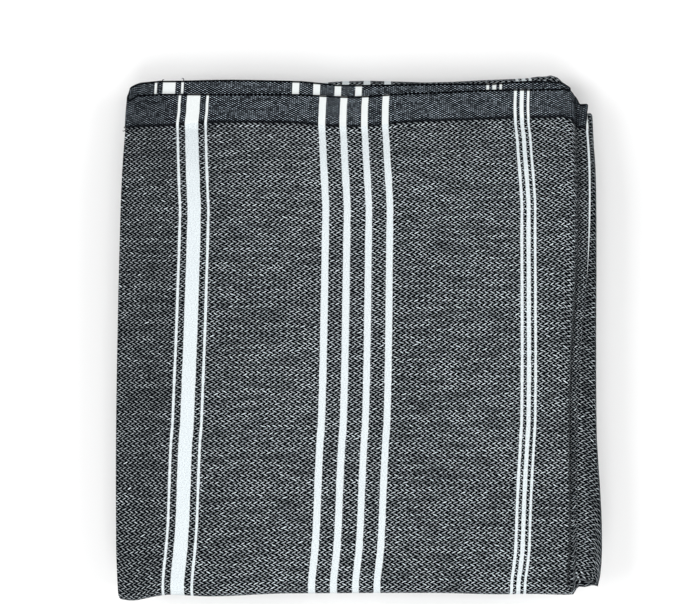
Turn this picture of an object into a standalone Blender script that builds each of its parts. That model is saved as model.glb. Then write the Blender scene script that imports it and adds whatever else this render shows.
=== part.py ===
"""A hammam towel, folded for the shelf.

Run it with: blender --background --python part.py

One length of woven cotton is folded in four across its width, and that strip of four plies is
laid to and fro along its length in seven leaves. The whole cloth is one closed solid.

Metres, +Z up. The origin is under the middle of the bundle, on the surface it rests on. +X runs
along the hem, and +Y points to the end where the first hem lies on top. "Far" is the +Y end and
"near" the -Y end.
"""

import math
from typing import NamedTuple

import bmesh
import bpy

# ---- The cloth, laid out flat ----
CLOTH_LENGTH = 1.778
SHEET_THICKNESS = 0.0011
HEM_DEPTH = 0.017
HEM_SWELL = 0.30  # how much thicker the top hem is than the plain cloth, as a share

# ---- The stack ----
PLY_PITCH = 0.0014  # from the middle of one ply to the middle of the next
OUTER_PLY = 1.5 * PLY_PITCH  # from the middle of the strip of four plies to its outermost ply
LEAF_COUNT = 7
LEAF_PITCH = 4 * PLY_PITCH
TURN_RADIUS = LEAF_PITCH / 2
UNDERSIDE_GAP = (PLY_PITCH - SHEET_THICKNESS) / 2
FIRST_HEM_Y = 0.1375
NEAR_END_Y = -0.1370
FAR_END_Y = 0.1410
LAYOUT_MIDDLE = (0.0008, 0.0006)  # the bundle's middle, where the tables below are read

SAG_FULL_HEIGHT = 2 * LEAF_PITCH  # the height from which the far end sags by its full depth

# ---- The right edge of the top leaf, where two plies lie on each other beyond the inner fold ----
LIP_HALF_GAP = 0.55 * PLY_PITCH
LIP_SLOPE = 0.004

HEM_STEP = 0.003  # along the cloth, over which the hem's thickness falls to the plain cloth's

# ---- How finely the cloth is cut. Every ply has the same cuts, so none runs into its neighbour ----
LEAST_STEP = 0.002  # cuts nearer than this to the end of a run or ply are left out
TURN_STEPS = 5
LEFT_FOLD_STEPS = 4
RIGHT_FOLD_STEPS = 3
TOP_LEAF_CUTS = (0.010, -0.050, -0.110)
SECOND_LEAF_CUTS = (-0.050, -0.110)
LOWER_LEAF_CUTS = (-0.020,)

COLLECTION_NAME = "hammam_towel"
NODE_NAME = "towel"


class Turn(NamedTuple):
    """One turn of the to-and-fro, and how far out the cloth reaches there."""

    side: str
    reach: float


TURNS = (
    Turn("near", NEAR_END_Y),
    Turn("far", FAR_END_Y),
    Turn("near", -0.1350),
    Turn("far", 0.1217),
    Turn("near", -0.1340),
    Turn("far", 0.0925),
)


class Section(NamedTuple):
    """The strip of four plies where leaf number `leaf` passes y."""

    leaf: int
    y: float
    left: float  # the cloth's centre fold
    inner: float  # the fold of the two inner plies
    right: float  # the fold of the two outer plies
    selvedge: float  # how far the selvedges stop short of the left fold


SECTIONS = (
    Section(1, 0.1375, -0.1242, 0.1165, 0.1250, 0.006),
    Section(1, 0.1120, -0.1254, 0.1172, 0.1246, 0.006),
    Section(1, 0.0640, -0.1262, 0.1172, 0.1228, 0.005),
    Section(1, -0.0500, -0.1274, 0.1105, 0.1162, 0.003),
    Section(1, -0.1100, -0.1268, 0.1100, 0.1154, 0.003),
    Section(1, -0.1310, -0.1257, 0.1085, 0.1138, 0.003),
    Section(2, -0.1300, -0.1250, 0.1210, 0.1270, 0.004),
    Section(2, -0.1020, -0.1258, 0.1225, 0.1296, 0.006),
    Section(2, -0.0480, -0.1264, 0.1205, 0.1278, 0.007),
    Section(2, 0.0640, -0.1256, 0.1140, 0.1205, 0.004),
    Section(2, 0.1150, -0.1250, 0.1120, 0.1190, 0.004),
    Section(2, 0.1350, -0.1236, 0.1080, 0.1150, 0.005),
    Section(3, 0.1340, -0.1240, 0.1090, 0.1160, 0.006),
    Section(3, 0.0600, -0.1258, 0.1140, 0.1210, 0.004),
    Section(3, -0.0500, -0.1262, 0.1175, 0.1250, 0.006),
    Section(3, -0.1290, -0.1248, 0.1150, 0.1220, 0.005),
    Section(4, -0.1290, -0.1246, 0.1160, 0.1235, 0.006),
    Section(4, -0.0480, -0.1258, 0.1190, 0.1262, 0.004),
    Section(4, 0.0720, -0.1252, 0.1215, 0.1292, 0.007),
    Section(4, 0.1120, -0.1240, 0.1210, 0.1288, 0.007),
    Section(5, 0.1120, -0.1236, 0.1190, 0.1270, 0.007),
    Section(5, -0.0500, -0.1254, 0.1170, 0.1245, 0.005),
    Section(5, -0.1280, -0.1240, 0.1150, 0.1225, 0.006),
    Section(6, -0.1280, -0.1242, 0.1155, 0.1230, 0.004),
    Section(6, 0.0860, -0.1238, 0.1180, 0.1255, 0.007),
    Section(7, 0.0860, -0.1234, 0.1175, 0.1250, 0.006),
    Section(7, -0.1300, -0.1245, 0.1160, 0.1238, 0.004),
)


class HemPoint(NamedTuple):
    """How far the first hem stops short of FIRST_HEM_Y, at a place across the cloth.

    `across` is 0 at the left fold, up to 1 at the right fold on the top ply and on to 2 at its
    selvedge. It is negative on the second ply, and beyond -1 on the third.
    """

    across: float
    setback: float


HEM_LINE = (
    HemPoint(-2.00, 0.0020),
    HemPoint(-1.00, 0.0012),
    HemPoint(-0.78, 0.0000),
    HemPoint(-0.56, 0.0012),
    HemPoint(-0.20, 0.0000),
    HemPoint(-0.07, 0.0000),
    HemPoint(-0.03, 0.0012),
    HemPoint(-0.01, 0.0040),
    HemPoint(0.00, 0.0075),
    HemPoint(0.16, 0.0083),
    HemPoint(0.58, 0.0081),
    HemPoint(0.74, 0.0059),
    HemPoint(0.95, 0.0050),
    HemPoint(0.98, 0.0110),
    HemPoint(1.00, 0.0130),
    HemPoint(1.05, 0.0110),
    HemPoint(2.00, 0.0090),
)
HEM_LINE_FADE = 0.020  # along the cloth, over which the hem's unevenness dies away
HEM_END = HEM_DEPTH + 0.0083  # where the top ply's hem ends, which itself starts 8.3 mm back


class EndWave(NamedTuple):
    """How far the two ends stand out beyond their turns, at one of the cuts across the bundle."""

    x: float
    near: float
    far: float


END_WAVES = (
    EndWave(-0.1280, 0.0016, -0.0040),
    EndWave(-0.1130, 0.0034, -0.0010),
    EndWave(-0.1000, 0.0008, 0.0000),
    EndWave(-0.0780, 0.0021, 0.0000),
    EndWave(-0.0350, 0.0002, -0.0003),
    EndWave(0.0400, -0.0008, -0.0007),
    EndWave(0.0900, -0.0006, 0.0006),
    EndWave(0.1300, 0.0004, -0.0030),
)
WAVE_FADE = 0.070  # from either end towards the middle, over which the waves die away


class Sag(NamedTuple):
    """How far the upper leaves have come down at y, where the lower ones stop short of the end."""

    y: float
    depth: float


SAGS = (
    Sag(0.0700, 0.0000),
    Sag(0.0871, 0.0014),
    Sag(0.1020, 0.0050),
    Sag(0.1163, 0.0086),
    Sag(0.1420, 0.0125),
)


def smoothstep(value, start, end):
    """0 before start, 1 after end, and an even S-curve between them."""
    t = min(1.0, max(0.0, (value - start) / (end - start)))
    return t * t * (3.0 - 2.0 * t)


def read_curve(points, at):
    """The value at `at` of a smooth curve through (place, value) points in rising order."""
    if at <= points[0][0]:
        return points[0][1]
    for (x0, y0), (x1, y1) in zip(points, points[1:]):
        if at <= x1:
            return y0 + (y1 - y0) * smoothstep(at, x0, x1)
    return points[-1][1]


def read_line(points, at):
    """The value at `at` on straight lines between (place, value) points in rising order."""
    for (x0, y0), (x1, y1) in zip(points, points[1:]):
        if at <= x1:
            return y0 + (y1 - y0) * max(0.0, at - x0) / (x1 - x0)
    return points[-1][1]


# ---- The path of the strip's middle, as runs along Y joined by half turns ----


class Run(NamedTuple):
    """A straight leaf of the path, from y `start` to y `end`."""

    leaf: int
    start: float
    end: float
    z: float
    begins: float  # the length of path before it


def leaf_height(leaf):
    """The height of the middle of a leaf, counted from 1 at the top."""
    return (LEAF_COUNT - leaf) * LEAF_PITCH + TURN_RADIUS - UNDERSIDE_GAP


def outer_radius():
    """The radius of the outermost surface of a turn."""
    return TURN_RADIUS + OUTER_PLY + SHEET_THICKNESS / 2


def plan_runs():
    """The seven leaves in order. The last one takes what is left of the cloth's length."""
    runs = []
    y = FIRST_HEM_Y
    length = 0.0
    for leaf, turn in enumerate(TURNS, start=1):
        inwards = 1.0 if turn.side == "near" else -1.0
        end = turn.reach + inwards * outer_radius()
        runs.append(Run(leaf, y, end, leaf_height(leaf), length))
        length += abs(end - y) + math.pi * TURN_RADIUS
        y = end
    last_end = y - (CLOTH_LENGTH - length)
    runs.append(Run(LEAF_COUNT, y, last_end, leaf_height(LEAF_COUNT), length))
    return runs


class Station(NamedTuple):
    """A place along the path: its point, the direction of the strip's first face, and its length."""

    y: float
    z: float
    normal_y: float
    normal_z: float
    length: float


def stations_on_run(run, places):
    """Stations at the given y places of a run, in its own order, and at its two ends."""
    low, high = sorted((run.start, run.end))
    inside = [y for y in places if low + LEAST_STEP < y < high - LEAST_STEP]
    facing = 1.0 if run.leaf % 2 else -1.0
    found = []
    for y in sorted((low, *inside, high), reverse=run.start > run.end):
        found.append(Station(y, run.z, 0.0, facing, run.begins + abs(y - run.start)))
    return found


def stations_on_turn(run):
    """The stations inside the half turn that follows a run."""
    outwards = -1.0 if run.leaf % 2 else 1.0
    facing = 1.0 if run.leaf % 2 else -1.0
    begins = run.begins + abs(run.end - run.start)
    found = []
    for step in range(1, TURN_STEPS):
        angle = math.pi * step / TURN_STEPS
        found.append(
            Station(
                run.end + outwards * TURN_RADIUS * math.sin(angle),
                run.z - TURN_RADIUS * (1.0 - math.cos(angle)),
                facing * outwards * math.sin(angle),
                facing * math.cos(angle),
                begins + TURN_RADIUS * angle,
            )
        )
    return found


def all_stations(runs):
    """Every station from the first hem to the last."""
    hem_end = FIRST_HEM_Y - HEM_END
    found = []
    for run in runs:
        places = [sag.y for sag in SAGS]
        if run.leaf == 1:
            places += [hem_end, hem_end - HEM_STEP, *TOP_LEAF_CUTS]
        elif run.leaf == 2:
            places += SECOND_LEAF_CUTS
        else:
            places += LOWER_LEAF_CUTS
        found += stations_on_run(run, places)
        if run.leaf < LEAF_COUNT:
            found += stations_on_turn(run)
    return found


# ---- The strip's cross-section ----


def section_lengths(runs):
    """Each row of SECTIONS with its length along the path."""
    rows = []
    for row in SECTIONS:
        run = runs[row.leaf - 1]
        along = (row.y - run.start) / (run.end - run.start)
        rows.append((run.begins + along * abs(run.end - run.start), row))
    return rows


def outline_at(length, rows):
    """The left, inner, right and selvedge values of the strip at a length along the path."""
    return [
        read_curve([(at, getattr(row, name)) for at, row in rows], length)
        for name in ("left", "inner", "right", "selvedge")
    ]


def arc(centre_x, centre_n, radius, start, end, steps):
    """Points on an arc in the (x, n) plane without its two ends, each with the arc's own normal."""
    points = []
    for step in range(1, steps):
        angle = start + (end - start) * step / steps
        points.append(
            (
                centre_x + radius * math.cos(angle),
                centre_n + radius * math.sin(angle),
                math.cos(angle),
                math.sin(angle),
            )
        )
    return points


def lip_height(x, inner, right):
    """How far the top ply's middle is from the strip's middle, which falls beyond the inner fold."""
    fall = smoothstep(x, inner, inner + min(LIP_SLOPE, right - inner - LIP_HALF_GAP))
    return OUTER_PLY + (LIP_HALF_GAP - OUTER_PLY) * fall


def ply_places(start, end):
    """The x places from start to end at which a ply is cut, both with."""
    low, high = sorted((start, end))
    inside = [wave.x for wave in END_WAVES if low + LEAST_STEP < wave.x < high - LEAST_STEP]
    return sorted((low, *inside, high), reverse=start > end)


def lip_places(inner, right):
    """The x places where the outer plies bend towards each other."""
    tip = right - LIP_HALF_GAP
    slope = min(LIP_SLOPE, tip - inner)
    return [inner, inner + 0.5 * slope, inner + slope, tip]


def strip_section(left, inner, right, selvedge):
    """The cloth's middle line across the strip, as (x, n, normal x, normal n, across) rows.

    n is the height above the strip's middle. The line starts at the third ply's selvedge, and runs
    by way of the second ply, the left fold and the top ply to the fourth ply's selvedge. The normal
    is the side of the cloth that faces out on the top ply. `across` is as HemPoint has it.
    """
    half = PLY_PITCH / 2
    back_edge = left + selvedge
    rows = []

    def ply(places, n_of, side, across_of):
        for x in places:
            rows.append((x, n_of(x), 0.0, side, across_of(x)))

    def share(x):
        return (x - left) / (right - left)

    inner_end = inner - half
    ply(
        ply_places(back_edge, inner_end),
        lambda x: -half,
        1.0,
        lambda x: -2.0 + share(x),
    )
    for x, n, out_x, out_n in arc(
        inner_end, 0.0, half, -math.pi / 2, math.pi / 2, RIGHT_FOLD_STEPS
    ):
        rows.append((x, n, -out_x, -out_n, -1.0))
    ply(
        ply_places(inner_end, left + half),
        lambda x: half,
        -1.0,
        lambda x: -share(x),
    )
    for x, n, out_x, out_n in arc(
        left + half, 2 * half, half, -math.pi / 2, -1.5 * math.pi, LEFT_FOLD_STEPS
    ):
        rows.append((x, n, out_x, out_n, 0.0))
    top_places = ply_places(left + half, inner) + lip_places(inner, right)[1:]
    ply(top_places, lambda x: lip_height(x, inner, right), 1.0, share)
    for x, n, out_x, out_n in arc(
        right - LIP_HALF_GAP, 0.0, LIP_HALF_GAP, math.pi / 2, -math.pi / 2, RIGHT_FOLD_STEPS
    ):
        rows.append((x, n, out_x, out_n, 1.0))
    low_places = lip_places(inner, right)[::-1] + ply_places(inner, back_edge)[1:]
    ply(low_places, lambda x: -lip_height(x, inner, right), -1.0, lambda x: 2.0 - share(x))
    return rows


# ---- From the regular stack to the soft one ----


def sag_far_end(y, z):
    """Lets the far end down. What lies lowest stays on the ground."""
    return z - read_line(SAGS, y) * min(1.0, max(0.0, z) / SAG_FULL_HEIGHT)


def wave_ends(x, y):
    """Moves the two ends in and out, as the folds there wander."""
    near_share = 1.0 - smoothstep(y, NEAR_END_Y, NEAR_END_Y + WAVE_FADE)
    far_share = smoothstep(y, FAR_END_Y - WAVE_FADE, FAR_END_Y)
    near = read_line([(wave.x, wave.near) for wave in END_WAVES], x)
    far = read_line([(wave.x, wave.far) for wave in END_WAVES], x)
    return y - near_share * near + far_share * far


def soft_place(x, y, z):
    """Where a point of the regular stack lies in the real one."""
    return (x - LAYOUT_MIDDLE[0], wave_ends(x, y) - LAYOUT_MIDDLE[1], sag_far_end(y, z))


def swollen(height, length):
    """A height above the strip's middle, raised where the first hem makes the strip thicker."""
    share = 1.0 - smoothstep(length, HEM_END, HEM_END + HEM_STEP)
    return height + HEM_SWELL * share * (height + TURN_RADIUS)


# ---- The solid ----


def towel_points():
    """Rows of (first face point, second face point) pairs, one row a station."""
    runs = plan_runs()
    sections = section_lengths(runs)
    rows = []
    for station in all_stations(runs):
        outline = outline_at(station.length, sections)
        row = []
        for x, n, out_x, out_n, across in strip_section(*outline):
            fade = 1.0 - smoothstep(station.length, 0.0, HEM_LINE_FADE)
            setback = read_curve(HEM_LINE, across) * fade
            pair = []
            for side in (0.5, -0.5):
                offset = side * SHEET_THICKNESS
                height = swollen(n + offset * out_n, station.length)
                pair.append(
                    soft_place(
                        x + offset * out_x,
                        station.y + height * station.normal_y - setback,
                        station.z + height * station.normal_z,
                    )
                )
            row.append(pair)
        rows.append(row)
    return rows


def loft_towel(rows):
    """A bmesh of the closed sheet: two faces, two selvedges and two hem edges."""
    mesh = bmesh.new()
    grid = [[[mesh.verts.new(point) for point in pair] for pair in row] for row in rows]
    for row, next_row in zip(grid, grid[1:]):
        for here, there, here_on, there_on in zip(row, row[1:], next_row, next_row[1:]):
            mesh.faces.new((here[0], here_on[0], there_on[0], there[0]))
            mesh.faces.new((here[1], there[1], there_on[1], here_on[1]))
        mesh.faces.new((row[0][0], row[0][1], next_row[0][1], next_row[0][0]))
        mesh.faces.new((row[-1][0], next_row[-1][0], next_row[-1][1], row[-1][1]))
    for row, flip in ((grid[0], False), (grid[-1], True)):
        for here, there in zip(row, row[1:]):
            corners = (here[0], there[0], there[1], here[1])
            mesh.faces.new(corners[::-1] if flip else corners)
    bmesh.ops.recalc_face_normals(mesh, faces=mesh.faces)
    return mesh


def cotton_material():
    """Charcoal cotton with pale flecks, as one even colour."""
    material = bpy.data.materials.new("charcoal_cotton")
    material.use_nodes = True
    shader = material.node_tree.nodes["Principled BSDF"]
    shader.inputs["Base Color"].default_value = (0.045, 0.050, 0.060, 1.0)
    shader.inputs["Roughness"].default_value = 0.92
    shader.inputs["Metallic"].default_value = 0.0
    return material


def build_towel():
    """The towel as one object in its own collection."""
    collection = bpy.data.collections.new(COLLECTION_NAME)
    bpy.context.scene.collection.children.link(collection)
    data = bpy.data.meshes.new(NODE_NAME)
    mesh = loft_towel(towel_points())
    mesh.to_mesh(data)
    mesh.free()
    data.shade_smooth()
    data.set_sharp_from_angle(angle=math.radians(50))
    data.materials.append(cotton_material())
    collection.objects.link(bpy.data.objects.new(NODE_NAME, data))


for old in list(bpy.data.objects):
    bpy.data.objects.remove(old, do_unlink=True)
build_towel()
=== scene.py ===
"""A folded hammam towel, dressed for its picture.

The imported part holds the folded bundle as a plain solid. Here the same folds are laid again as one
thin, finely cut sheet with its herringbone, stripes and hems, and the stitches and loose thread
ends are added to it.

Metres, +Z up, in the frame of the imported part: +X runs along the hem, and +Y points to the end
where the first hem lies on top. "Far" is the +Y end and "near" the -Y end. Across the cloth, U is 0
at its centre fold. Along it, V is 0 at the edge of the first hem.
"""

import logging
import math
from collections.abc import Sequence
from dataclasses import dataclass
from dataclasses import field
from enum import Enum
from typing import NamedTuple

import bpy
import numpy as np
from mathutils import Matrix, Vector


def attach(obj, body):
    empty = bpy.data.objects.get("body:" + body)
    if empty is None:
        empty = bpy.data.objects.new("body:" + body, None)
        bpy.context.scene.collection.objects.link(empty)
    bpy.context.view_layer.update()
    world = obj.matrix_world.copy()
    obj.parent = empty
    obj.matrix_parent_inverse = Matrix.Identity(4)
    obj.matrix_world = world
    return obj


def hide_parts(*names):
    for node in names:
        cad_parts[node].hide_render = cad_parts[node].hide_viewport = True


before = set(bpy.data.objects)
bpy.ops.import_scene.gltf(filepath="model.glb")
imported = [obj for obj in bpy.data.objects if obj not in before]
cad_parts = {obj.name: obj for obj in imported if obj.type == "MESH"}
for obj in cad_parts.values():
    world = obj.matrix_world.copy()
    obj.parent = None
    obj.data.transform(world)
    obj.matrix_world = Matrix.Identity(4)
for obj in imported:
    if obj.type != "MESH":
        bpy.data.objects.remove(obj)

LOG = logging.getLogger("hammam_towel")
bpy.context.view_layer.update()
CLOTH_MAP = "cloth"
# Its second value is the painted shade of the lips.
EDGE_AND_SHADE_MAP = "edge"
BAKE_MAP = "OFBake"

HALF_MAP = 0.5  # the width of each face's half of the bake map
NOISE_LAYERS = 2.0
MIX_FIRST = 6  # the Mix node's colour inputs and output, which share their names with others
MIX_SECOND = 7
MIX_RESULT = 2
STEEP = 0.9  # how upright a tube may be before its sides are laid out from another axis

Array = np.ndarray
Socket = bpy.types.NodeSocket
Colour = tuple[float, ...]
Input = Socket | float | Colour
Part = tuple[Array, Array]  # the x and n values of a piece of the sheet's middle line
Tube = tuple[Array, list[list[int]]]  # its corners and its faces


# ---- The rows of the tables below ----


class Side(Enum):
    """An end of the bundle, as a direction along Y."""

    NEAR = -1.0
    FAR = 1.0


class Turn(NamedTuple):
    """One half turn of the strip, and how far out the cloth reaches there."""

    side: Side
    reach: float


class Section(NamedTuple):
    """The strip of four plies where leaf number `leaf` passes y."""

    leaf: int
    y: float
    left: float
    inner: float
    right: float
    selvedge: float


class Pattern(NamedTuple):
    """How the stripes lie where leaf number `leaf` passes y.

    `left_u` and `right_u` are the U on the left fold and on the outer right fold, and `rate` is how
    much U grows for each metre of X on the flat part of the top ply.
    """

    leaf: int
    y: float
    left_u: float
    rate: float
    right_u: float


class LipPoint(NamedTuple):
    """The heights of the top ply and the lowest ply above the strip's middle, beyond the inner fold.

    `share` is 0 at the inner fold and 1 where the outer fold starts to bend round. The last column
    is painted shade: how light the cloth is made there, beside the flat cloth's 1, for the shade in
    the hollow beside the fold and on the lower leaves, with some darker tone of the pressed cloth.
    """

    share: float
    top: float
    low: float
    tone: float


class HemPoint(NamedTuple):
    """How far the first hem, and the weave below it, are set back at a place across the cloth.

    `across` is 0 at the left fold, up to 1 at the right fold on the top ply and on to 2 at its
    selvedge. It is negative on the second ply, and beyond -1 on the third.
    """

    across: float
    edge: float
    weave: float


class EndWave(NamedTuple):
    """How far the two ends stand out beyond their turns, at a place across the bundle."""

    x: float
    near: float
    far: float


class Slip(NamedTuple):
    """How far the far turn of leaves 2 and 3 stands out beyond its straight line at x."""

    x: float
    shift: float


class Sag(NamedTuple):
    """How far the upper leaves have come down at y."""

    y: float
    depth: float


class Crease(NamedTuple):
    """A soft ridge, or with a negative height a trough, pressed into the upper leaves."""

    start: tuple[float, float]
    end: tuple[float, float]
    width: float
    height: float


class Ripple(NamedTuple):
    """One of the long, low waves that leave no leaf quite flat."""

    waves_x: float
    waves_y: float
    phase: float
    height: float


class Band(NamedTuple):
    """A stretch of the cloth, such as a white stripe, by the places of its two edges."""

    start: float
    end: float

    @property
    def middle(self) -> float:
        """The place of its middle."""
        return (self.start + self.end) / 2.0

    @property
    def half(self) -> float:
        """Half its width."""
        return (self.end - self.start) / 2.0


class Rise(NamedTuple):
    """A smooth change from `low` at `start` to `high` at `end`."""

    start: float
    end: float
    low: float = 0.0
    high: float = 1.0


# ---- Curves through the tables ----


def smooth_curve(places: Sequence[float], values: Sequence[float], at: Array) -> Array:
    """Reads a smooth curve that passes through points and never swings past them.

    Args:
        places: Where the points are, in rising order.
        values: The curve's value at each of them.
        at: Where to read the curve. Outside the points it keeps its end values.

    Returns:
        The values there, in the shape of `at`.
    """
    x = np.asarray(places, dtype=float)
    y = np.asarray(values, dtype=float)
    steps = np.diff(x)
    slopes = np.diff(y) / steps
    before, after = slopes[:-1], slopes[1:]
    weight_before = 2.0 * steps[1:] + steps[:-1]
    weight_after = steps[1:] + 2.0 * steps[:-1]
    same_way = before * after > 0.0
    safe_before = np.where(same_way, before, 1.0)
    safe_after = np.where(same_way, after, 1.0)
    middle = (weight_before + weight_after) / (
        weight_before / safe_before + weight_after / safe_after
    )
    tangents = np.concatenate([[slopes[0]], np.where(same_way, middle, 0.0), [slopes[-1]]])
    at = np.clip(at, x[0], x[-1])
    index = np.clip(np.searchsorted(x, at, side="right") - 1, 0, len(steps) - 1)
    step = steps[index]
    t = (at - x[index]) / step
    from_start = y[index] * (1.0 + 2.0 * t) + tangents[index] * step * t
    from_end = y[index + 1] * (3.0 - 2.0 * t) - tangents[index + 1] * step * (1.0 - t)
    return from_start * (1.0 - t) ** 2 + from_end * t**2


def read_table(rows: Sequence[NamedTuple], place: str, value: str, at: Array) -> Array:
    """Reads one column of a table as a smooth curve over another column.

    Args:
        rows: The table.
        place: The column that says where each row lies, in rising order.
        value: The column to read.
        at: Where to read it.

    Returns:
        The values there, in the shape of `at`.
    """
    places = [getattr(row, place) for row in rows]
    return smooth_curve(places, [getattr(row, value) for row in rows], at)


def smoothstep(value: Array, start: float, end: float) -> Array:
    """Rises evenly from 0 at start to 1 at end.

    Args:
        value: Where to read it.
        start: Where the rise starts.
        end: Where the rise ends.

    Returns:
        Values from 0 to 1, in the shape of `value`.
    """
    t = np.clip((value - start) / (end - start), 0.0, 1.0)
    return t * t * (3.0 - 2.0 * t)


# ---- The folds ----


class Stations(NamedTuple):
    """Places along the strip's path, one value each."""

    leaf: Array  # its number, or one half more on the turn that follows it
    y: Array
    z: Array
    normal_y: Array
    normal_z: Array
    length: Array
    turned: Array  # the angle by which the strip has turned over


@dataclass(frozen=True)
class StripPath:
    """The middle line of the folded strip: leaves along Y, joined by half turns."""

    cloth_length: float = 1.778
    leaf_count: int = 7
    leaf_pitch: float = 0.0056
    lowest_z: float = 0.00290
    outer_radius: float = 0.00545
    first_y: float = 0.1375
    turn_steps: int = 7
    end_rim: tuple[float, ...] = (0.0, 0.00025, 0.0007, 0.0015)
    hem_cuts: tuple[float, float, float] = (0.0030, 0.0190, 0.0026)  # start, end and step
    seam_cuts: tuple[float, float, float] = (0.0200, 0.0305, 0.0011)  # start, end and step
    plain_start: float = 0.0330
    plain_cuts: int = 62
    last_cuts: int = 20
    last_rim: float = 0.0030
    second_step: float = 0.0080
    other_step: float = 0.0120
    turns: tuple[Turn, ...] = (
        Turn(Side.NEAR, -0.1370),
        Turn(Side.FAR, 0.1410),
        Turn(Side.NEAR, -0.1350),
        Turn(Side.FAR, 0.1217),
        Turn(Side.NEAR, -0.1340),
        Turn(Side.FAR, 0.0925),
    )

    def height(self, leaf: int) -> float:
        """The height of the middle of a leaf, counted from 1 at the top."""
        return (self.leaf_count - leaf) * self.leaf_pitch + self.lowest_z

    def leaf_lengths(self, leaf: int, span: float) -> Array:
        """Where along a leaf the cloth is cut.

        Args:
            leaf: The leaf's number.
            span: Its length.

        Returns:
            Distances from the leaf's start, from 0 to its span.
        """
        if leaf == 1:
            hem = np.arange(*self.hem_cuts)
            seam = np.arange(*self.seam_cuts)
            rest = np.linspace(self.plain_start, span, self.plain_cuts)
            return np.concatenate([self.end_rim, hem, seam, rest])
        if leaf == self.leaf_count:
            rest = np.linspace(0.0, span - self.last_rim, self.last_cuts)
            return np.concatenate([rest, span - np.array(self.end_rim)[::-1]])
        step = self.second_step if leaf == 2 else self.other_step
        return np.linspace(0.0, span, int(span / step) + 1)

    def stations(self) -> Stations:
        """Every station, from the first hem to the last.

        Returns:
            The stations, as arrays of equal length.
        """
        rows: list[tuple[float, ...]] = []
        radius = self.leaf_pitch / 2.0
        y = self.first_y
        length = 0.0
        for leaf in range(1, self.leaf_count + 1):
            heading = -1.0 if leaf % 2 else 1.0
            facing = -heading
            turned = 0.0 if leaf % 2 else math.pi
            z = self.height(leaf)
            if leaf < self.leaf_count:
                end = self.turns[leaf - 1].reach - heading * self.outer_radius
            else:
                end = y + heading * (self.cloth_length - length)
            for along in self.leaf_lengths(leaf, abs(end - y)):
                place = y + heading * along
                rows.append((leaf, place, z, 0.0, facing, length + along, turned))
            length += abs(end - y)
            y = end
            if leaf == self.leaf_count:
                break
            for angle in np.linspace(0.0, math.pi, self.turn_steps + 1)[1:-1]:
                rows.append(
                    (
                        leaf + 0.5,
                        y + heading * radius * math.sin(angle),
                        z - radius * (1.0 - math.cos(angle)),
                        facing * heading * math.sin(angle),
                        facing * math.cos(angle),
                        length + radius * angle,
                        turned + facing * angle,
                    )
                )
            length += math.pi * radius
        return Stations(*np.array(rows).T)

    def length_at(self, leaf: int, y: float) -> float:
        """The path's length where a leaf passes y.

        Args:
            leaf: The leaf's number.
            y: The place.

        Returns:
            The length of path before it.
        """
        start = self.first_y
        length = 0.0
        for number, turn in enumerate(self.turns, start=1):
            if number == leaf:
                break
            end = turn.reach - turn.side.value * self.outer_radius
            length += abs(end - start) + math.pi * self.leaf_pitch / 2.0
            start = end
        return length + abs(y - start)


class Across(NamedTuple):
    """The sheet's middle line across the strip: a row a station, a column a cut."""

    x: Array
    n: Array  # the height above the strip's middle
    normal_x: Array
    normal_n: Array
    across: Array  # as in HemPoint
    u: Array
    tone: Array  # the painted shade and tone, as in LipPoint, one value a column


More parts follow.
